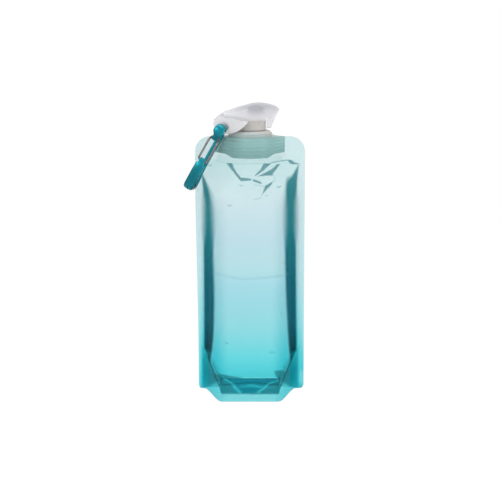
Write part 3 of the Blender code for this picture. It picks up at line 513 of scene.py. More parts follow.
# Clear teal laminate: tinted see-through film with a soft sheen; painted shade makes it deeper in colour at
# walls and folds, and a shadow is painted under the neck
def filmMaterial():
    made, tree = newMaterial("tinted clear laminate film")
    top = pouch["height"] + 0.5
    place, height = heightShare(tree, top, (-1500, 0))
    colours = {key: addNode(tree, "ShaderNodeValToRGB", (-900, 300 - 250 * i), {"Fac": height},
                            [(z / top, colour) for z, colour in filmLook[key]])
               for i, key in enumerate(("body", "seal", "wall", "corner", "side"))}
    seal = paintOver(tree, colours["seal"], "pale", filmLook["pale"], (-550, 600))
    colour = paintOver(tree, colours["body"], "seal", seal, (-350, 300))
    # Painted shade where the belly turns to the side and along the seals' inner edge
    colour = paintOver(tree, colour, "side", colours["side"], (-200, 300), "MULTIPLY")
    # Painted shade of the film seen edge on at the side walls
    colour = paintOver(tree, colour, "wall", colours["wall"], (-50, 300))
    # Fold lines in painted shade, the level line and the painted shadow under the neck
    colour = paintOver(tree, colour, "line", filmLook["line"], (100, 300))
    # Two walls lie behind each other, so each takes the square root of the colour
    tint = addNode(tree, "ShaderNodeGamma", (250, 300), {"Color": colour, "Gamma": 0.5})
    tint = paintOver(tree, tint, "corner", colours["corner"], (400, 300))
    # kink and crease hold painted shade; foot is the back wall's clear foot
    for i, mask in enumerate(("kink", "crease", "foot")):
        tint = paintOver(tree, tint, mask, filmLook[mask], (550 + 150 * i, 300))
    noise = addNode(tree, "ShaderNodeTexNoise", (-900, -1000), {
        "Vector": place, "Scale": filmLook["waves"], "Detail": 3.0})
    fine = addNode(tree, "ShaderNodeTexNoise", (-500, -700), {
        "Vector": place, "Scale": filmLook["ripples"], "Detail": 2.0})
    waves = addNode(tree, "ShaderNodeMath", (-300, -700), {0: noise, 1: 3.0, 2: fine},
                    operation="MULTIPLY_ADD")
    normal = addNode(tree, "ShaderNodeBump", (-100, -600), {
        "Height": waves, "Distance": 0.25 * mm, "Strength": 0.6})
    rough = addNode(tree, "ShaderNodeMapRange", (-100, -350), {"Value": noise, "To Min": 0.1, "To Max": 0.24})
    # The walls painted dark have less gloss
    wall = addNode(tree, "ShaderNodeAttribute", (-300, -100), attribute_name="wall").outputs["Fac"]
    gloss = addNode(tree, "ShaderNodeMapRange", (-100, -100), {"Value": wall, "To Min": 0.5, "To Max": 0.1})
    shell = addNode(tree, "ShaderNodeBsdfPrincipled", (300, -100), {
        "Base Color": colour, "Roughness": rough, "Specular IOR Level": gloss, "Normal": normal})
    bare = addNode(tree, "ShaderNodeAttribute", (300, 100), attribute_name="bare").outputs["Fac"]
    cover = addNode(tree, "ShaderNodeMapRange", (500, 100), {
        "Value": bare, "To Min": filmLook["veil"], "To Max": filmLook["bareVeil"]})
    finishLayers(tree, cover, tint, shell)
    return made


# The film's inner face: nearly clear, with a trace of sheen, so that colour counts once for each wall
def innerFilmMaterial():
    made, tree = newMaterial("clear film inner face")
    shell = addNode(tree, "ShaderNodeBsdfPrincipled", (300, -100), {"Base Color": "d8f0f2", "Roughness": 0.2})
    finishLayers(tree, 0.02, "fdffff", shell)
    return made


film = filmMaterial()
filmInner = innerFilmMaterial()

print("film walls")
frontWall = makeWall("pouch_front_wall", -1, pouch["frontGrid"], [film, filmInner])
flattenWith(frontWall)
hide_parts("front_panel")
backWall = makeWall("pouch_back_wall", 1, pouch["backGrid"], [film, filmInner])
flattenWith(backWall)
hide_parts("back_panel")

print("gusset")

# The folded bottom: its mesh, its place inside the walls in mm, and the lines of its folds seen from above
gusset = {
    "columns": 121, "skirtRows": 14, "floorRows": 34, "inset": 3.2, "tuck": 3.0, "pleat": 0.9,
    "slopeStep": 0.6, "foldLeft": [(-27.4, 29), (-18.6, 3.3), (-10.9, -25.0), (-9.8, -29)], "leftWidth": 3.4,
    "foldRight": [(31.5, 20), (18.9, 0.6), (8.3, -26.7), (7.6, -29)], "rightWidth": 2.6,
    # Where its paler sides begin, and how they slant; where its painted sheen lies, and how far
    "outsideLeft": (-19, 0.32), "outsideRight": (17.5, 0.48), "shineAt": (3, -9), "shineReach": (22, 9),
    "pleatTurns": 3.2, "pleatSlant": 5.0, "flatShare": 0.06, "flatGap": 0.15,
}


# Depth of a surface that lies clearance mm inside the film
def insetDepth(x, z, clearance):
    step = gusset["slopeStep"]
    across = (filmDepth(x + step, z) - filmDepth(x - step, z)) / (2 * step)
    up = (filmDepth(x, z + step) - filmDepth(x, z - step)) / (2 * step)
    return filmDepth(x, z) - clearance * np.sqrt(1 + across ** 2 + up ** 2)


# Half of the folded bottom: a skirt inside the wall, then the floor as far as the middle fold
def makeGusset(name, side, materials):
    skirtRows, floorRows = gusset["skirtRows"], gusset["floorRows"]
    clearance = pouch["film"] + 3 * pouch["gap"]
    half = sealEdge - gusset["inset"]
    x = np.linspace(-half, half, gusset["columns"])
    ax = np.abs(x)
    foot, weld = filmFoot(x), weldHeight(x)
    edge = insetDepth(x, weld, clearance)
    tuck = gusset["tuck"] * (1 - smooth(ax / half))
    points, floor = [], []
    for k in range(skirtRows + 1):
        z = mix(foot, weld, k / skirtRows)
        points.append(np.stack([x, side * insetDepth(x, z, clearance), z], 1))
        floor.append(np.full(len(x), float(k == skirtRows)))
    for k in range(1, floorRows + 1):
        share = k / floorRows
        pleat = np.sin(gusset["pleatTurns"] * share + ax / gusset["pleatSlant"])
        pleat = pleat * smooth(share * 4) * smooth((1 - share) * 4)
        z = weld + tuck * share + gusset["pleat"] * pleat * (ax < half - 1)
        points.append(np.stack([x, side * edge * (1 - share), z], 1))
        floor.append(np.ones(len(x)))
    points, floor = np.stack(points, 1), np.stack(floor, 1)
    px, py = points[..., 0], points[..., 1]
    fold = np.maximum(alongLine(px, py, gusset["foldLeft"], gusset["leftWidth"]),
                      alongLine(px, py, gusset["foldRight"], gusset["rightWidth"]))
    (leftX, leftSlant), (rightX, rightSlant) = gusset["outsideLeft"], gusset["outsideRight"]
    outside = np.maximum(smooth((leftX - px - leftSlant * py) / 3 + 0.2),
                         smooth((px - rightX - rightSlant * py) / 3 + 0.2))
    # A painted sheen on the floor, fading out from its middle
    (shineX, shineY), (reachX, reachY) = gusset["shineAt"], gusset["shineReach"]
    paintedSheen = smooth(1 - np.hypot((px - shineX) / reachX, (py - shineY) / reachY))
    masks = {"floor": floor * falling(np.abs(px), 31, 2), "fold": fold * floor, "outside": outside * floor,
             "paintedSheen": paintedSheen * floor}
    return sheetObject(name, points, masks, pouch["film"], materials, side)


# The bottom's film, seen edge on through the wall, so its floor looks deep teal with paler pleats and a
# painted sheen
def gussetMaterial():
    made, tree = newMaterial("deep teal gusset film")
    place = addNode(tree, "ShaderNodeTexCoord", (-1300, -200)).outputs["Object"]
    noise = addNode(tree, "ShaderNodeTexNoise", (-1100, -200), {
        "Vector": place, "Scale": 90.0, "Detail": 2.0})  # puckers of 11 mm
    deep = addNode(tree, "ShaderNodeMix", (-900, -100), {0: noise, 6: "0f8496", 7: "1998aa"},
                   data_type="RGBA")
    # Its paler sides, a painted sheen and paler pleat lines, over its deep teal
    for i, (mask, colour) in enumerate((("outside", "4b959e"), ("paintedSheen", "5cc3cc"), ("fold", "6fcdd4"))):
        deep = paintOver(tree, deep, mask, colour, (200 * i - 700, -100))
    shown = addNode(tree, "ShaderNodeAttribute", (-300, 200), attribute_name="floor").outputs["Fac"]
    tint = addNode(tree, "ShaderNodeMix", (-100, 100), {0: shown, 6: "eefbfc", 7: deep}, data_type="RGBA")
    normal = addNode(tree, "ShaderNodeBump", (-300, -300), {
        "Height": noise, "Distance": 0.6 * mm, "Strength": 0.6})
    shell = addNode(tree, "ShaderNodeBsdfPrincipled", (100, -100), {
        "Base Color": tint, "Roughness": 0.22, "Normal": normal})
    finishLayers(tree, 0.05, tint, shell)
    return made


gussetFilm = gussetMaterial()
gussetFront = makeGusset("gusset_front_half", -1, [gussetFilm, filmInner])
gussetBack = makeGusset("gusset_back_half", 1, [gussetFilm, filmInner])
for piece, body, direction in ((gussetFront, "front_film", 1), (gussetBack, "back_film", -1)):
    flattenWith(piece)
    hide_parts("bottom_gusset")

print("cap and lid")

# Sizes of the lid in mm
lid = {
    "hingeX": -29.5, "hingeZ": 277.3, "barrel": 6.3, "knuckle": 5.0, "knuckleHalf": 2.7, "pin": 1.8,
    "parting": 278.5, "rear": -25.6, "bow": 23.5, "crown": 16.0, "crownAt": 0.68, "rake": 0.61, "wall": 1.6,
    "bodyRadius": 23.6, "stern": 0.80, "tabHalf": 6.5, "tabDrop": 8.4, "tabWall": 2.2, "skirt": 15.5,
    "edge": 1.6, "shoulder": 3.5, "shoulderTurn": 130, "tabRake": 0.33, "tabStep": 1.0, "tabTop": 2.0,
    "tabInset": 0.3, "tabGap": 0.6, "hullInset": 2.4, "bowRoom": 0.4,
    # Its lower edge rises toward the hinge, from riseStart on
    "riseStart": -3.5, "riseEnd": 6.0, "riseDrop": 0.8,
    # The curves of its shell, and how many wall thicknesses the inner face lies inside the outer one
    "rearFall": 0.863, "bowFall": 0.41, "lip": 1.3, "lift": 0.62, "flank": 0.8,
    "inRear": 1.55, "inBow": 1.3, "inFlank": 1.1, "inRoof": 1.15,
    # The hump behind it: x from its rear end, z from the hinge
    "hump": [(-1.8, 6.8), (-2.6, 4.6)],
    "stations": 44, "steps": 40, "armSteps": 20, "holeSides": 24, "sharpAngle": 38,
}


# Half of the width of the cap's hull, and of the lid on it, at x
def hullHalf(x):
    widest = lid["bodyRadius"] - lid["hullInset"]
    if x < 0:
        return widest * mix(1.0, lid["stern"], (x / (lid["hingeX"] - lid["barrel"])) ** 2.2)
    return widest * math.sqrt(max(0.0, 1 - (x / (lid["bow"] + lid["bowRoom"])) ** 2.4))


# Height of the lid's lower edge at x
def partingHeight(x):
    rise = lid["hingeZ"] + lid["barrel"] - lid["riseDrop"] - lid["parting"]
    share = (x - lid["riseStart"]) / (lid["hingeX"] + lid["riseEnd"])
    return lid["parting"] + rise * max(0.0, share) ** 1.2


# Height of the lid's crown over its lower edge at x
def crownHeight(x):
    share = (x - lid["rear"]) / (lid["bow"] - lid["rear"])
    behind = max(0.0, 1 - share / lid["crownAt"])
    ahead = max(0.0, (share - lid["crownAt"]) / (1 - lid["crownAt"]))
    lip = lid["lip"] * float(falling(x, -20, 5))
    return lid["crown"] * (1 - lid["rearFall"] * behind ** 1.7 - lid["bowFall"] * ahead ** 1.6) + lip


# One arch across the lid, from rim to rim, raked at the bow, as an array of points in mm
def lidArch(x, half, height):
    turn = math.pi * (np.linspace(0, 1, lid["steps"] + 1) - 0.5)
    lift = np.maximum(np.cos(turn), 0) ** lid["lift"]
    lift[[0, -1]] = 0
    z = partingHeight(x) + height * lift
    rake = lid["rake"] * float(rising(x, 4, lid["bow"] - 6)) * (z - lid["parting"])
    return np.stack([x + rake, half * np.sign(turn) * np.abs(np.sin(turn)) ** lid["flank"], z], 1)


# Arches from the rear to the bow of the lid's outer face, or of a face inset mm inside it
def lidArches(inset):
    rear, bow = lid["rear"] + lid["inRear"] * inset, lid["bow"] - lid["inBow"] * inset
    edge = lid["edge"] if inset == 0 else 0.5 * lid["edge"]
    arches = []
    for i in range(lid["stations"] + 1):
        x = mix(rear, bow, 1 - (1 - i / lid["stations"]) ** 1.2)
        half = max(hullHalf(x), lid["tabHalf"]) - lid["inFlank"] * inset
        height = max(crownHeight(x) - lid["inRoof"] * inset, 0.3)
        near = min(x - rear, bow - x)
        drop = edge - math.sqrt(max(0.0, edge ** 2 - max(0.0, edge - near) ** 2))
        arches.append(lidArch(x, half - drop, max(height - drop, 0.25)))
    return arches


# A mesh object from points in mm and faces of any number of sides, its faces turned outward
def closedObject(name, verts, faces, materials, smoothShade=True):
    mesh = bpy.data.meshes.new(name)
    mesh.from_pydata([tuple(c * mm for c in v) for v in verts], [], [tuple(int(i) for i in f) for f in faces])
    mesh.validate()
    work = bmesh.new()
    work.from_mesh(mesh)
    bmesh.ops.recalc_face_normals(work, faces=work.faces)
    work.to_mesh(mesh)
    work.free()
    for material in materials:
        mesh.materials.append(material)
    if smoothShade:
        mesh.shade_smooth()
    return newObject(name, mesh)


# The outer and the inner face of the lid, joined by its rim
def lidShell(material):
    verts, faces, rims = [], [], []
    n = lid["steps"] + 1
    for arches in (lidArches(0), lidArches(lid["wall"])):
        base = len(verts)
        for arch in arches:
            verts.extend(arch)
        for i in range(len(arches) - 1):
            for k in range(n - 1):
                a = base + i * n + k
                faces.append((a, a + 1, a + n + 1, a + n))
        last = base + (len(arches) - 1) * n
        faces += [tuple(range(base, base + n)), tuple(range(last, last + n))]
        rims.append(list(range(base, last + 1, n)) + list(range(last + n - 1, base, -n)))
    outer, inner = rims
    for i in range(len(outer)):
        j = (i + 1) % len(outer)
        faces.append((outer[i], outer[j], inner[j], inner[i]))
    return closedObject("lid_shell", verts, faces, [material])


# Faces of a closed prism between two rings of n points
def prismFaces(n):
    sides = [(i, (i + 1) % n, n + (i + 1) % n, n + i) for i in range(n)]
    return sides + [tuple(range(n)), tuple(range(n, 2 * n))]


# A prism across the bottle from an outline of (x, z) in mm
def prismY(name, outline, halfWidth, material):
    verts = [(x, y, z) for y in (-halfWidth, halfWidth) for x, z in outline]
    return closedObject(name, verts, prismFaces(len(outline)), [material], False)


# Turns the object's modifiers into its mesh
def applyModifiers(obj):
    graph = bpy.context.evaluated_depsgraph_get()
    made = bpy.data.meshes.new_from_object(obj.evaluated_get(graph))
    obj.modifiers.clear()
    obj.data = made


# Joins the other solid to the target, or cuts it away, and removes the other
def combine(target, other, operation):
    modifier = target.modifiers.new(operation.lower(), "BOOLEAN")
    modifier.operation = operation
    modifier.solver = "MANIFOLD"
    modifier.object = other
    applyModifiers(target)
    bpy.data.objects.remove(other)


# The (x, z) of a point round the hinge; turn runs from the bow's side upward
def aroundHinge(radius, turn):
    return lid["hingeX"] + radius * math.cos(turn), lid["hingeZ"] + radius * math.sin(turn)


# The shell with its thumb tab, the arm down to the hinge, and the pin's bore
def makeLid(material):
    shell = lidShell(material)
    foot, top = -lid["tabDrop"], lid["tabTop"]
    outer, inner = lid["bow"] - lid["tabInset"], lid["skirt"] + lid["tabGap"]
    tab = [(outer + lid["tabRake"] * foot, foot), (outer + lid["rake"] * top, top),
           (outer + lid["rake"] * top - lid["tabWall"], top), (inner, -lid["tabStep"]), (inner, foot)]
    tab = [(x, lid["parting"] + z) for x, z in tab]
    combine(shell, prismY("tab", tab, lid["tabHalf"], material), "UNION")
    arm = []
    for i in range(lid["armSteps"] + 1):
        turn = math.radians(mix(100, 340, i / lid["armSteps"]))
        lean = max(math.cos(turn - math.radians(lid["shoulderTurn"])), 0.1)
        arm.append(aroundHinge(min(lid["knuckle"], lid["shoulder"] / lean), turn))
    roofX, lowX = lid["rear"] + 4.0, lid["rear"] + 1.0
    roof = partingHeight(roofX)
    arm += [(roofX, roof), (roofX, roof + crownHeight(roofX) - lid["wall"] / 2),
            (lowX, partingHeight(lowX) + 0.95 * crownHeight(lowX))]
    arm += [(lid["rear"] + x, lid["hingeZ"] + z) for x, z in lid["hump"]]
    combine(shell, prismY("arm", arm, lid["knuckleHalf"], material), "UNION")
    hole = [aroundHinge(lid["pin"], 2 * math.pi * i / lid["holeSides"]) for i in range(lid["holeSides"])]
    combine(shell, prismY("hole", hole, 12, material), "DIFFERENCE")
    shell.name = "frosted_lid"
    shell.data.set_sharp_from_angle(angle=math.radians(lid["sharpAngle"]))
    return shell


# Frosted plastics, moulded polypropylene and silicone: milky, softly see-through, more solid where walls
# face the eye edge on. The tone is a ramp over the height, or over the radius, in mm. glow is painted light:
# a faint light of the part's own, standing in for light scattered in the wall
def frostedMaterial(name, low, high, opacity, roughness, tone=None, glow=0.0):
    made, tree = newMaterial(name)
    place = addNode(tree, "ShaderNodeTexCoord", (-1100, 0)).outputs["Object"]
    cloud = addNode(tree, "ShaderNodeTexNoise", (-900, 0), {
        "Vector": place, "Scale": 70.0, "Detail": 4.0})  # clouds of 14 mm in the moulding
    grain = addNode(tree, "ShaderNodeTexNoise", (-900, -250), {
        "Vector": place, "Scale": 1900.0, "Detail": 2.0})  # frosting of 0.5 mm, coarser than real, to show
    colour = addNode(tree, "ShaderNodeMix", (-600, 100), {0: cloud, 6: low, 7: high}, data_type="RGBA")
    if tone:
        measure, far, stops = tone
        split = addNode(tree, "ShaderNodeSeparateXYZ", (-900, 600), {"Vector": place}).outputs
        flat = addNode(tree, "ShaderNodeCombineXYZ", (-700, 600), {"X": split["X"], "Y": split["Y"]})
        reach = addNode(tree, "ShaderNodeVectorMath", (-500, 600), {0: flat}, operation="LENGTH")
        given = split["Z"] if measure == "height" else reach
        share = addNode(tree, "ShaderNodeMath", (-300, 600), {0: given, 1: 1 / (far * mm)},
                        operation="MULTIPLY")
        toned = addNode(tree, "ShaderNodeValToRGB", (-200, 600), {"Fac": share},
                        [(at / far, shade) for at, shade in stops])
        colour = addNode(tree, "ShaderNodeMix", (0, 600), {0: 1.0, 6: colour, 7: toned},
                         data_type="RGBA", blend_type="MULTIPLY")
    facing = addNode(tree, "ShaderNodeLayerWeight", (-900, 300), {"Blend": 0.35}).outputs["Facing"]
    normal = addNode(tree, "ShaderNodeBump", (-500, -300), {
        "Height": grain, "Distance": 0.008 * mm, "Strength": 0.3})
    shell = addNode(tree, "ShaderNodeBsdfPrincipled", (-100, -100), {
        "Base Color": colour, "Roughness": roughness, "Normal": normal, "Coat Weight": 0.15,
        "Coat Roughness": 0.3, "Emission Color": colour, "Emission Strength": glow})
    lit = addNode(tree, "ShaderNodeBsdfTranslucent", (-100, -500), {"Color": colour, "Normal": normal})
    solid = addNode(tree, "ShaderNodeMixShader", (200, -200), {"Fac": 0.35, 1: shell, 2: lit})
    cover = addNode(tree, "ShaderNodeMapRange", (0, 400), {
        "Value": facing, "To Min": opacity, "To Max": min(1.0, opacity + 0.35)})
    finishLayers(tree, cover, "f3f3f6", solid)
    return made


# Gives a CAD node its finish
def dress(node, material):
    node.data.materials.clear()
    node.data.materials.append(material)


# How much darker each piece grows over its height or radius: which, the ramp's far end, and its stops
# The lid's painted shade: it grows darker toward its crown
lidPaintedShade = ("height", 300.0, [(279, "ffffff"), (284, "fdfdfd"), (287, "eeeeef"), (291, "ccccd0")])
capTone = ("radius", 30.0, [(15.9, "f9f5ef"), (16.4, "ffffff")])
spoutTone = ("height", 300.0, [(281.5, "ffffff"), (286, "b4b9c2"), (288.5, "a2a8b2")])
# The lid and the spout glow a little: painted light standing in for light scattered in their walls
frosted = frostedMaterial("frosted polypropylene lid", "dcdcdd", "eeeeef", opacity=0.3, roughness=0.36,
                          tone=lidPaintedShade, glow=0.27)
frostedCap = frostedMaterial("frosted polypropylene cap", "e4e3e4", "f2f2f3", opacity=0.8, roughness=0.4,
                             tone=capTone)
spoutPlastic = frostedMaterial("milky spout", "f2f1ee", "fbfaf7", opacity=0.8, roughness=0.45,
                               tone=spoutTone, glow=0.2)
softSeal = frostedMaterial("grey silicone", "989ca5", "a8acb4", opacity=0.8, roughness=0.5)
topLid = makeLid(frosted)
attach(topLid, "lid")
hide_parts("flip_lid")
for nodeName, finish in (("cap_base", frostedCap), ("drinking_spout", spoutPlastic), ("lid_seal", softSeal),
                         ("cap_gasket", softSeal), ("hinge_pin", frostedCap)):
    dress(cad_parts[nodeName], finish)

print("neck")

# The neck's looks: its colours by height in mm, and the pitch of its ribs, drawn as lines of painted shade
neck = {
    "colours": [(240, "7cb0ab"), (247, "8fc2bb"), (256, "a6d3ce"), (261.2, "aed2cd"), (262.6, "d6ccc9"),
                (268, "e2d9d6"), (275, "eceae8")],
    "top": 280.0, "pitch": 3.3,
}


# Tinted polyethylene fitment: teal where the film is welded to it, warm and milky at the bare shoulder
def neckMaterial():
    made, tree = newMaterial("milky polyethylene neck")
    place, height = heightShare(tree, neck["top"], (-1400, 0))
    base = addNode(tree, "ShaderNodeValToRGB", (-800, 200), {"Fac": height},
                   [(z / neck["top"], colour) for z, colour in neck["colours"]])
    cloud = addNode(tree, "ShaderNodeTexNoise", (-1000, -200), {
        "Vector": place, "Scale": 55.0, "Detail": 3.0})  # clouds of 18 mm
    shade = addNode(tree, "ShaderNodeMix", (-700, -100), {0: cloud, 6: "c4d0cf", 7: "ffffff"},
                    data_type="RGBA")
    # Lines of painted shade at the pitch of the neck's ribs
    turns = addNode(tree, "ShaderNodeMath", (-800, -400), {
        0: height, 1: neck["top"] * 2 * math.pi / neck["pitch"]}, operation="MULTIPLY")
    rib = addNode(tree, "ShaderNodeMath", (-650, -400), {0: turns}, operation="SINE")
    ribShade = addNode(tree, "ShaderNodeMapRange", (-500, -400), {
        "Value": rib, "From Min": -1.0, "To Min": 0.0, "To Max": 0.3})
    shade = addNode(tree, "ShaderNodeMix", (-500, -100), {0: ribShade, 6: shade, 7: "8fb3af"}, data_type="RGBA")
    colour = addNode(tree, "ShaderNodeMix", (-300, 100), {0: 0.8, 6: base, 7: shade},
                     data_type="RGBA", blend_type="MULTIPLY")
    normal = addNode(tree, "ShaderNodeBump", (-300, -300), {
        "Height": cloud, "Distance": 0.5 * mm, "Strength": 0.5})
    shell = addNode(tree, "ShaderNodeBsdfPrincipled", (0, 0), {
        "Base Color": colour, "Roughness": 0.35, "Normal": normal})
    finishLayers(tree, 0.8, colour, shell)
    return made


dress(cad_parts["neck_fitment"], neckMaterial())

print("carabiner")

# Sizes in mm: s runs down the carabiner, v from its spine to its gate, w across
clip = {
    "tilt": 29.5, "yaw": 10.0, "length": 70.5, "reach": 25.0, "bar": 2.5, "spineY": -11.3, "eyeX": -25.0,
    "eyeZ": 272.0, "cheek": 2.2, "corner": 4.5, "wire": 1.0, "spread": 4.6, "gateTop": 13.2, "pivot": 39.0,
    "rounding": 3.2, "endScale": 0.86, "sides": 24, "cornerSteps": 6, "sharpAngle": 40, "gateSteps": 10,
    "tongueHalf": 2.4, "tongueLength": 6, "tonguePlay": 0.7, "borePlay": 0.3, "slotHalf": 0.9,
    "slotShift": -0.2, "slotDepth": 3.4, "slotWide": 3.0,
}


# Points of the carabiner as an array in mm in the frame
def clipPoints(s, v, w):
    tilt, yaw = math.radians(clip["tilt"]), math.radians(clip["yaw"])
    down = np.array((-math.sin(tilt), 0, -math.cos(tilt)))
    side = np.array((math.cos(tilt), 0, -math.sin(tilt)))
    front = np.array((0, -1, 0)) * math.cos(yaw) - side * math.sin(yaw)
    across = np.cross(down, front)
    slide = front * ((hullHalf(clip["eyeX"]) - clip["cheek"] / 2 + clip["spineY"]) / math.cos(yaw))
    slide[1] = 0
    start = np.array((clip["eyeX"], clip["spineY"], clip["eyeZ"])) - slide
    s, v, w = (np.asarray(value, float)[..., None] for value in (s, v, w))
    return start + down * (s - clip["bar"]) + front * v + across * w


# The bar's middle line as rows of s, v, half width, half thickness and shade: painted light and shade, 0
# where lit and 1 where darkest
def clipPath():
    reach, bar, corner, pivot = clip["reach"], clip["bar"], clip["corner"], clip["pivot"]
    end = clip["length"] - bar
    rows = [(16.6, reach, 2.4, 2.0, 0.9), (15.2, reach, 3.0, bar, 0.9), (12.0, reach, 3.0, bar, 0.8),
            (10.6, reach, 3.6, bar, 0.55), (8.8, reach, 4.9, 1.08 * bar, 0.3)]

    def bend(s, v, start, half, thick, shade):
        for i in range(clip["cornerSteps"] + 1):
            share = i / clip["cornerSteps"]
            turn = math.radians(start + 90 * share)
            rows.append((s - corner * math.sin(turn), v + corner * math.cos(turn), mix(*half, share), thick,
                         mix(*shade, share)))

    bend(bar + corner, reach - corner, 0, (5.5, 4.6), 1.06 * bar, (0.1, 0.25))
    rows.append((bar, reach * 0.5, 3.4, bar, 0.35))
    bend(bar + corner, corner, 90, (3.0, 2.9), bar, (0.5, 0.3))
    rows += [(end * 0.5, 0.0, 2.8, bar, 0.25), (end - 20, 0.0, 3.0, bar, 0.3)]
    bend(end - corner, corner, 180, (4.2, 4.6), bar, (0.5, 0.8))
    rows.append((end, reach * 0.5, 4.7, 1.08 * bar, 0.9))
    bend(end - corner, reach - corner, 270, (4.7, 4.8), 1.1 * bar, (1.0, 0.85))
    rows += [(pivot + 14, reach, 4.9, 1.25 * bar, 0.6), (pivot + 8, reach, 4.9, 1.3 * bar, 0.3),
             (pivot + 3.4, reach, 4.7, 1.2 * bar, 0.0)]
    return np.array(rows)


# Catmull-Rom points between the rows
def finer(rows, parts):
    padded = np.concatenate([rows[:1], rows, rows[-1:]])
    found = []
    for i in range(len(rows) - 1):
        a, b, c, d = padded[i:i + 4]
        for k in range(parts):
            t = k / parts
            bent = (2 * a - 5 * b + 4 * c - d) + t * (3 * (b - c) + d - a)
            found.append(b + 0.5 * t * ((c - a) + t * bent))
    return np.array(found + [rows[-1]])


# A box on the carabiner, between two values each of s, v and w
def clipBox(name, sEnds, vEnds, wEnds, material):
    v, w = [vEnds[0], vEnds[1], vEnds[1], vEnds[0]], [wEnds[0], wEnds[0], wEnds[1], wEnds[1]]
    corners = [point for s in sEnds for point in clipPoints([s] * 4, v, w)]
    return closedObject(name, corners, prismFaces(4), [material], False)


# A round rod across the carabiner
def crossRod(name, s, v, radius, half, material):
    turn = 2 * np.pi * np.arange(clip["sides"]) / clip["sides"]
    rings = [clipPoints(s + radius * np.cos(turn), v + radius * np.sin(turn), np.full(len(turn), w))
             for w in (-half, half)]
    return closedObject(name, np.concatenate(rings), prismFaces(len(turn)), [material], False)


# The bent bar with the gate's tongue, boss and bore, and a slot in its lower end
def makeClip(material):
    rows = finer(clipPath(), 4)
    sides, count = clip["sides"], len(rows)
    along = np.gradient(rows[:, :2], axis=0)
    along /= np.linalg.norm(along, axis=1)[:, None]
    across = np.stack([-along[:, 1], along[:, 0]], 1)
    turn = 2 * np.pi * np.arange(sides) / sides
    power = 2 / clip["rounding"]
    a = np.sign(np.cos(turn)) * np.abs(np.cos(turn)) ** power
    b = np.sign(np.sin(turn)) * np.abs(np.sin(turn)) ** power
    scale = np.ones(count)
    scale[0] = scale[-1] = clip["endScale"]
    half, thick = (rows[:, 2] * scale)[:, None], (rows[:, 3] * scale)[:, None]
    s = rows[:, :1] + across[:, :1] * thick * b
    v = rows[:, 1:2] + across[:, 1:] * thick * b
    points = clipPoints(s, v, half * a).reshape(-1, 3)
    faces = [tuple(range(sides)), tuple(range((count - 1) * sides, count * sides))]
    for i in range(count - 1):
        for k in range(sides):
            j = (k + 1) % sides
            faces.append((i * sides + k, i * sides + j, (i + 1) * sides + j, (i + 1) * sides + k))
    body = closedObject("carabiner_bar", points, faces, [material])
    # Painted light and shade along the bar, one value for each ring
    shade = body.data.attributes.new("shade", "FLOAT", "POINT")
    shade.data.foreach_set("value", np.repeat(rows[:, 4], sides).astype(np.float32))
    reach, pivot, end, deep = clip["reach"], clip["pivot"], clip["length"], clip["tongueHalf"]
    tongue = clip["spread"] - clip["wire"] - clip["tonguePlay"]
    bore, slot, shift = clip["wire"] + clip["borePlay"], clip["slotHalf"], clip["slotShift"]
    block = clipBox("tongue", (pivot, pivot + clip["tongueLength"]), (reach - deep, reach + deep),
                    (-tongue, tongue), material)
    combine(body, block, "UNION")
    combine(body, crossRod("boss", pivot, reach, deep, tongue, material), "UNION")
    combine(body, crossRod("bore", pivot, reach, bore, 2 * tongue, material), "DIFFERENCE")
    cut = clipBox("slot", (end - clip["slotDepth"], end + 2), (reach - clip["slotWide"], reach + 5),
                  (shift - slot, shift + slot), material)
    combine(body, cut, "DIFFERENCE")
    body.data.set_sharp_from_angle(angle=math.radians(clip["sharpAngle"]))
    return body


# Geometry nodes: follows the object's line of points with a round wire
def wireTree():
    tree = bpy.data.node_groups.new("wire along path", "GeometryNodeTree")
    for name, kind in (("Geometry", "Geometry"), ("Wire Radius", "Float"), ("Bend Steps", "Int"),
                       ("Wire Finish", "Material")):
        tree.interface.new_socket(name, in_out="INPUT", socket_type="NodeSocket" + kind)
    tree.interface.new_socket("Geometry", in_out="OUTPUT", socket_type="NodeSocketGeometry")
    given = addNode(tree, "NodeGroupInput", (-900, 0)).outputs
    line = addNode(tree, "GeometryNodeMeshToCurve", (-700, 0), {"Mesh": given["Geometry"]})
    line = addNode(tree, "GeometryNodeCurveSplineType", (-500, 0), {"Curve": line}, spline_type="CATMULL_ROM")
    line = addNode(tree, "GeometryNodeSetSplineResolution", (-300, 0), {
        "Geometry": line, "Resolution": given["Bend Steps"]})
    ring = addNode(tree, "GeometryNodeCurvePrimitiveCircle", (-300, -250), {
        "Radius": given["Wire Radius"], "Resolution": 20})
    swept = addNode(tree, "GeometryNodeCurveToMesh", (-100, 0), {"Curve": line, "Profile Curve": ring})
    rounded = addNode(tree, "GeometryNodeSetShadeSmooth", (100, 0), {"Geometry": swept})
    real = addNode(tree, "GeometryNodeRealizeInstances", (280, 0), {"Geometry": rounded})
    coloured = addNode(tree, "GeometryNodeSetMaterial", (460, 0), {
        "Geometry": real, "Material": given["Wire Finish"]})
    addNode(tree, "NodeGroupOutput", (660, 0), {"Geometry": coloured})
    return tree


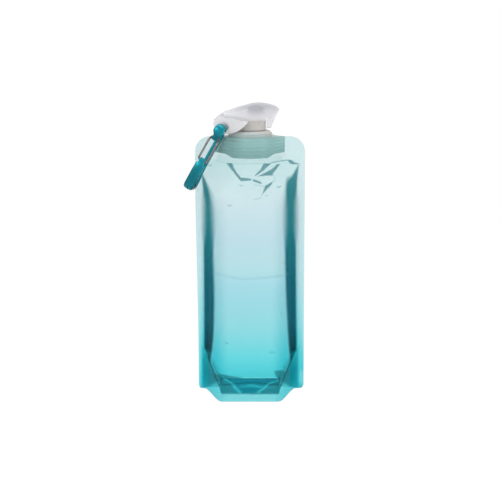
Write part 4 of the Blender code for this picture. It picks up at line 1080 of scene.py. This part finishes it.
def makeGate(material):
    reach, pivot, spread, top = clip["reach"], clip["pivot"], clip["spread"], clip["gateTop"]
    # One half of the bent wire as (s, v, w), from the pivot to its nose; the other is its mirror in w
    half = [(pivot, reach, 0.0), (pivot, reach, spread - 1.6), (pivot - 0.3, reach, spread - 0.5),
            (pivot - 1.3, reach, spread), (pivot - 5, reach, spread), (top + 12, reach, spread),
            (top + 6, reach, spread), (top + 3, reach - 1.4, spread - 0.2),
            (top + 1.2, reach - 3.6, spread - 1.0), (top, reach - 4.6, spread - 2.6), (top, reach - 4.6, 0.0)]
    path = np.array(half + [(s, v, -w) for s, v, w in half[-2:0:-1]])
    points = clipPoints(path[:, 0], path[:, 1], path[:, 2]) * mm
    mesh = bpy.data.meshes.new("gate_path")
    count = len(points)
    mesh.from_pydata([tuple(p) for p in points], [(i, (i + 1) % count) for i in range(count)], [])
    gate = newObject("gate_wire", mesh)
    modifier = gate.modifiers.new("wire", "NODES")
    modifier.node_group = wireTree()
    values = {"Wire Radius": clip["wire"] * mm, "Bend Steps": clip["gateSteps"], "Wire Finish": material}
    for item in modifier.node_group.interface.items_tree:
        if item.name in values:
            modifier[item.identifier] = values[item.name]
    applyModifiers(gate)
    return gate


# Teal anodised aluminium: satin, with painted shade that makes it darker on the block and in its bends, and
# painted light on its head
def anodisedMaterial():
    made, tree = newMaterial("teal anodised aluminium")
    place = addNode(tree, "ShaderNodeTexCoord", (-1300, 0)).outputs["Object"]
    grain = addNode(tree, "ShaderNodeTexNoise", (-900, -200), {
        "Vector": place, "Scale": 900.0, "Detail": 3.0})  # grain of 1.1 mm, coarser than real, to show
    cloud = addNode(tree, "ShaderNodeTexNoise", (-900, 0), {
        "Vector": place, "Scale": 120.0, "Detail": 2.0})  # clouds of 8 mm in the dye
    # Painted light and shade, read from the bar's shade values
    given = addNode(tree, "ShaderNodeAttribute", (-900, 250), attribute_name="shade").outputs["Fac"]
    shade = addNode(tree, "ShaderNodeValToRGB", (-650, 250), {"Fac": given},
                    [(0.0, "12909f"), (0.4, "0d7480"), (0.75, "08505a"), (1.0, "053940")])
    colour = addNode(tree, "ShaderNodeMix", (-350, 150), {0: cloud, 6: shade, 7: "0e7583"}, data_type="RGBA")
    rough = addNode(tree, "ShaderNodeMapRange", (-350, -150), {
        "Value": grain, "To Min": 0.22, "To Max": 0.36})
    normal = addNode(tree, "ShaderNodeBump", (-350, -350), {
        "Height": grain, "Distance": 0.03 * mm, "Strength": 0.6})
    metal = addNode(tree, "ShaderNodeBsdfPrincipled", (0, 0), {
        "Base Color": colour, "Metallic": 0.75, "Normal": normal, "Roughness": rough})
    addNode(tree, "ShaderNodeOutputMaterial", (300, 0), {"Surface": metal})
    return made


# Drawn stainless wire: grey with a faint warm cast and fine lengthwise scratches
def steelMaterial():
    made, tree = newMaterial("drawn stainless wire")
    place = addNode(tree, "ShaderNodeTexCoord", (-900, 0)).outputs["Object"]
    stretched = addNode(tree, "ShaderNodeMapping", (-700, 0), {
        "Vector": place, "Scale": (3000, 3000, 300)})  # scratches of 0.3 by 3 mm, coarser than real, to show
    scratch = addNode(tree, "ShaderNodeTexNoise", (-500, 0), {
        "Vector": stretched, "Scale": 1.0, "Detail": 2.0})
    colour = addNode(tree, "ShaderNodeMix", (-250, 100), {0: scratch, 6: "6f6b69", 7: "8e8785"},
                     data_type="RGBA")
    normal = addNode(tree, "ShaderNodeBump", (-250, -200), {
        "Height": scratch, "Distance": 0.02 * mm, "Strength": 0.5})
    metal = addNode(tree, "ShaderNodeBsdfPrincipled", (0, 0), {
        "Base Color": colour, "Metallic": 1.0, "Roughness": 0.3, "Normal": normal})
    addNode(tree, "ShaderNodeOutputMaterial", (300, 0), {"Surface": metal})
    return made


clipBody = makeClip(anodisedMaterial())
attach(clipBody, "carabiner")
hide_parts("carabiner_body")
clipGate = makeGate(steelMaterial())
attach(clipGate, "gate")
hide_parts("carabiner_gate")

print("stage")

# The studio in metres, its lights in watts. The camera sees the room at the strength white and the object
# is lit by it at fill; glow is how much of the floor's look is its own light
studio = {
    "floorSize": 80, "floorDrop": 0.0004, "matte": (0.9, 0.9, 0.9, 1),
    "white": 1.02, "fill": 0.85, "glow": 0.94,
    "camera": (0, -1.4, 0.4), "aim": (0, 0, 0.148), "lens": 102.8, "sensor": 36,
    "lights": [("key_softbox", (-0.7, -0.9, 1.1), (0, 0, 0.15), (0.9, 0.9), 9),
               ("side_softbox", (1.1, -0.5, 0.5), (0, 0, 0.15), (0.4, 1.2), 4),
               ("overhead_softbox", (0.1, 0.2, 1.5), (0, 0, 0.2), (1.2, 0.8), 6)],
}


# White floor: the camera sees its own light, with a trace of the object's soft shadow
def makeStage():
    bpy.ops.mesh.primitive_plane_add(size=studio["floorSize"], location=(0, 0, -studio["floorDrop"]))
    floor = bpy.context.object
    floor.name = "white_floor"
    made, tree = newMaterial("white studio floor")
    matte = addNode(tree, "ShaderNodeBsdfDiffuse", (0, -200), {"Color": studio["matte"]})
    glow = addNode(tree, "ShaderNodeEmission", (0, 100), {"Color": "ffffff", "Strength": studio["white"]})
    path = addNode(tree, "ShaderNodeLightPath", (-400, 400)).outputs
    seen = addNode(tree, "ShaderNodeMath", (-200, 400), {
        0: path["Is Camera Ray"], 1: path["Is Transmission Ray"]}, operation="MAXIMUM")
    seen = addNode(tree, "ShaderNodeMath", (0, 400), {0: seen, 1: studio["glow"]}, operation="MULTIPLY")
    both = addNode(tree, "ShaderNodeMixShader", (300, 0), {"Fac": seen, 1: matte, 2: glow})
    addNode(tree, "ShaderNodeOutputMaterial", (500, 0), {"Surface": both})
    floor.data.materials.append(made)


# Puts a light or camera in its place, looking at the target
def aimed(obj, place, target):
    obj.location = place
    obj.rotation_euler = (Vector(target) - Vector(place)).to_track_quat("-Z", "Y").to_euler()


makeStage()
world = bpy.data.worlds.new("white room")
bpy.context.scene.world = world
world.use_nodes = True
background = world.node_tree.nodes["Background"]
background.inputs["Color"].default_value = linear("ffffff")
seen = addNode(world.node_tree, "ShaderNodeLightPath", (-600, 0)).outputs["Is Camera Ray"]
strength = addNode(world.node_tree, "ShaderNodeMapRange", (-300, 0), {
    "Value": seen, "To Min": studio["fill"], "To Max": studio["white"]})
world.node_tree.links.new(strength.outputs["Result"], background.inputs["Strength"])
for name, place, target, size, watts in studio["lights"]:
    lamp = bpy.data.lights.new(name, "AREA")
    lamp.shape = "RECTANGLE"
    lamp.size, lamp.size_y = size
    lamp.energy = watts
    aimed(newObject(name, lamp), place, target)

cameraData = bpy.data.cameras.new("camera")
cameraData.lens = studio["lens"]
cameraData.sensor_width = studio["sensor"]
camera = newObject("camera", cameraData)
aimed(camera, studio["camera"], studio["aim"])
bpy.context.scene.camera = camera
bpy.context.scene.view_settings.view_transform = "Standard"
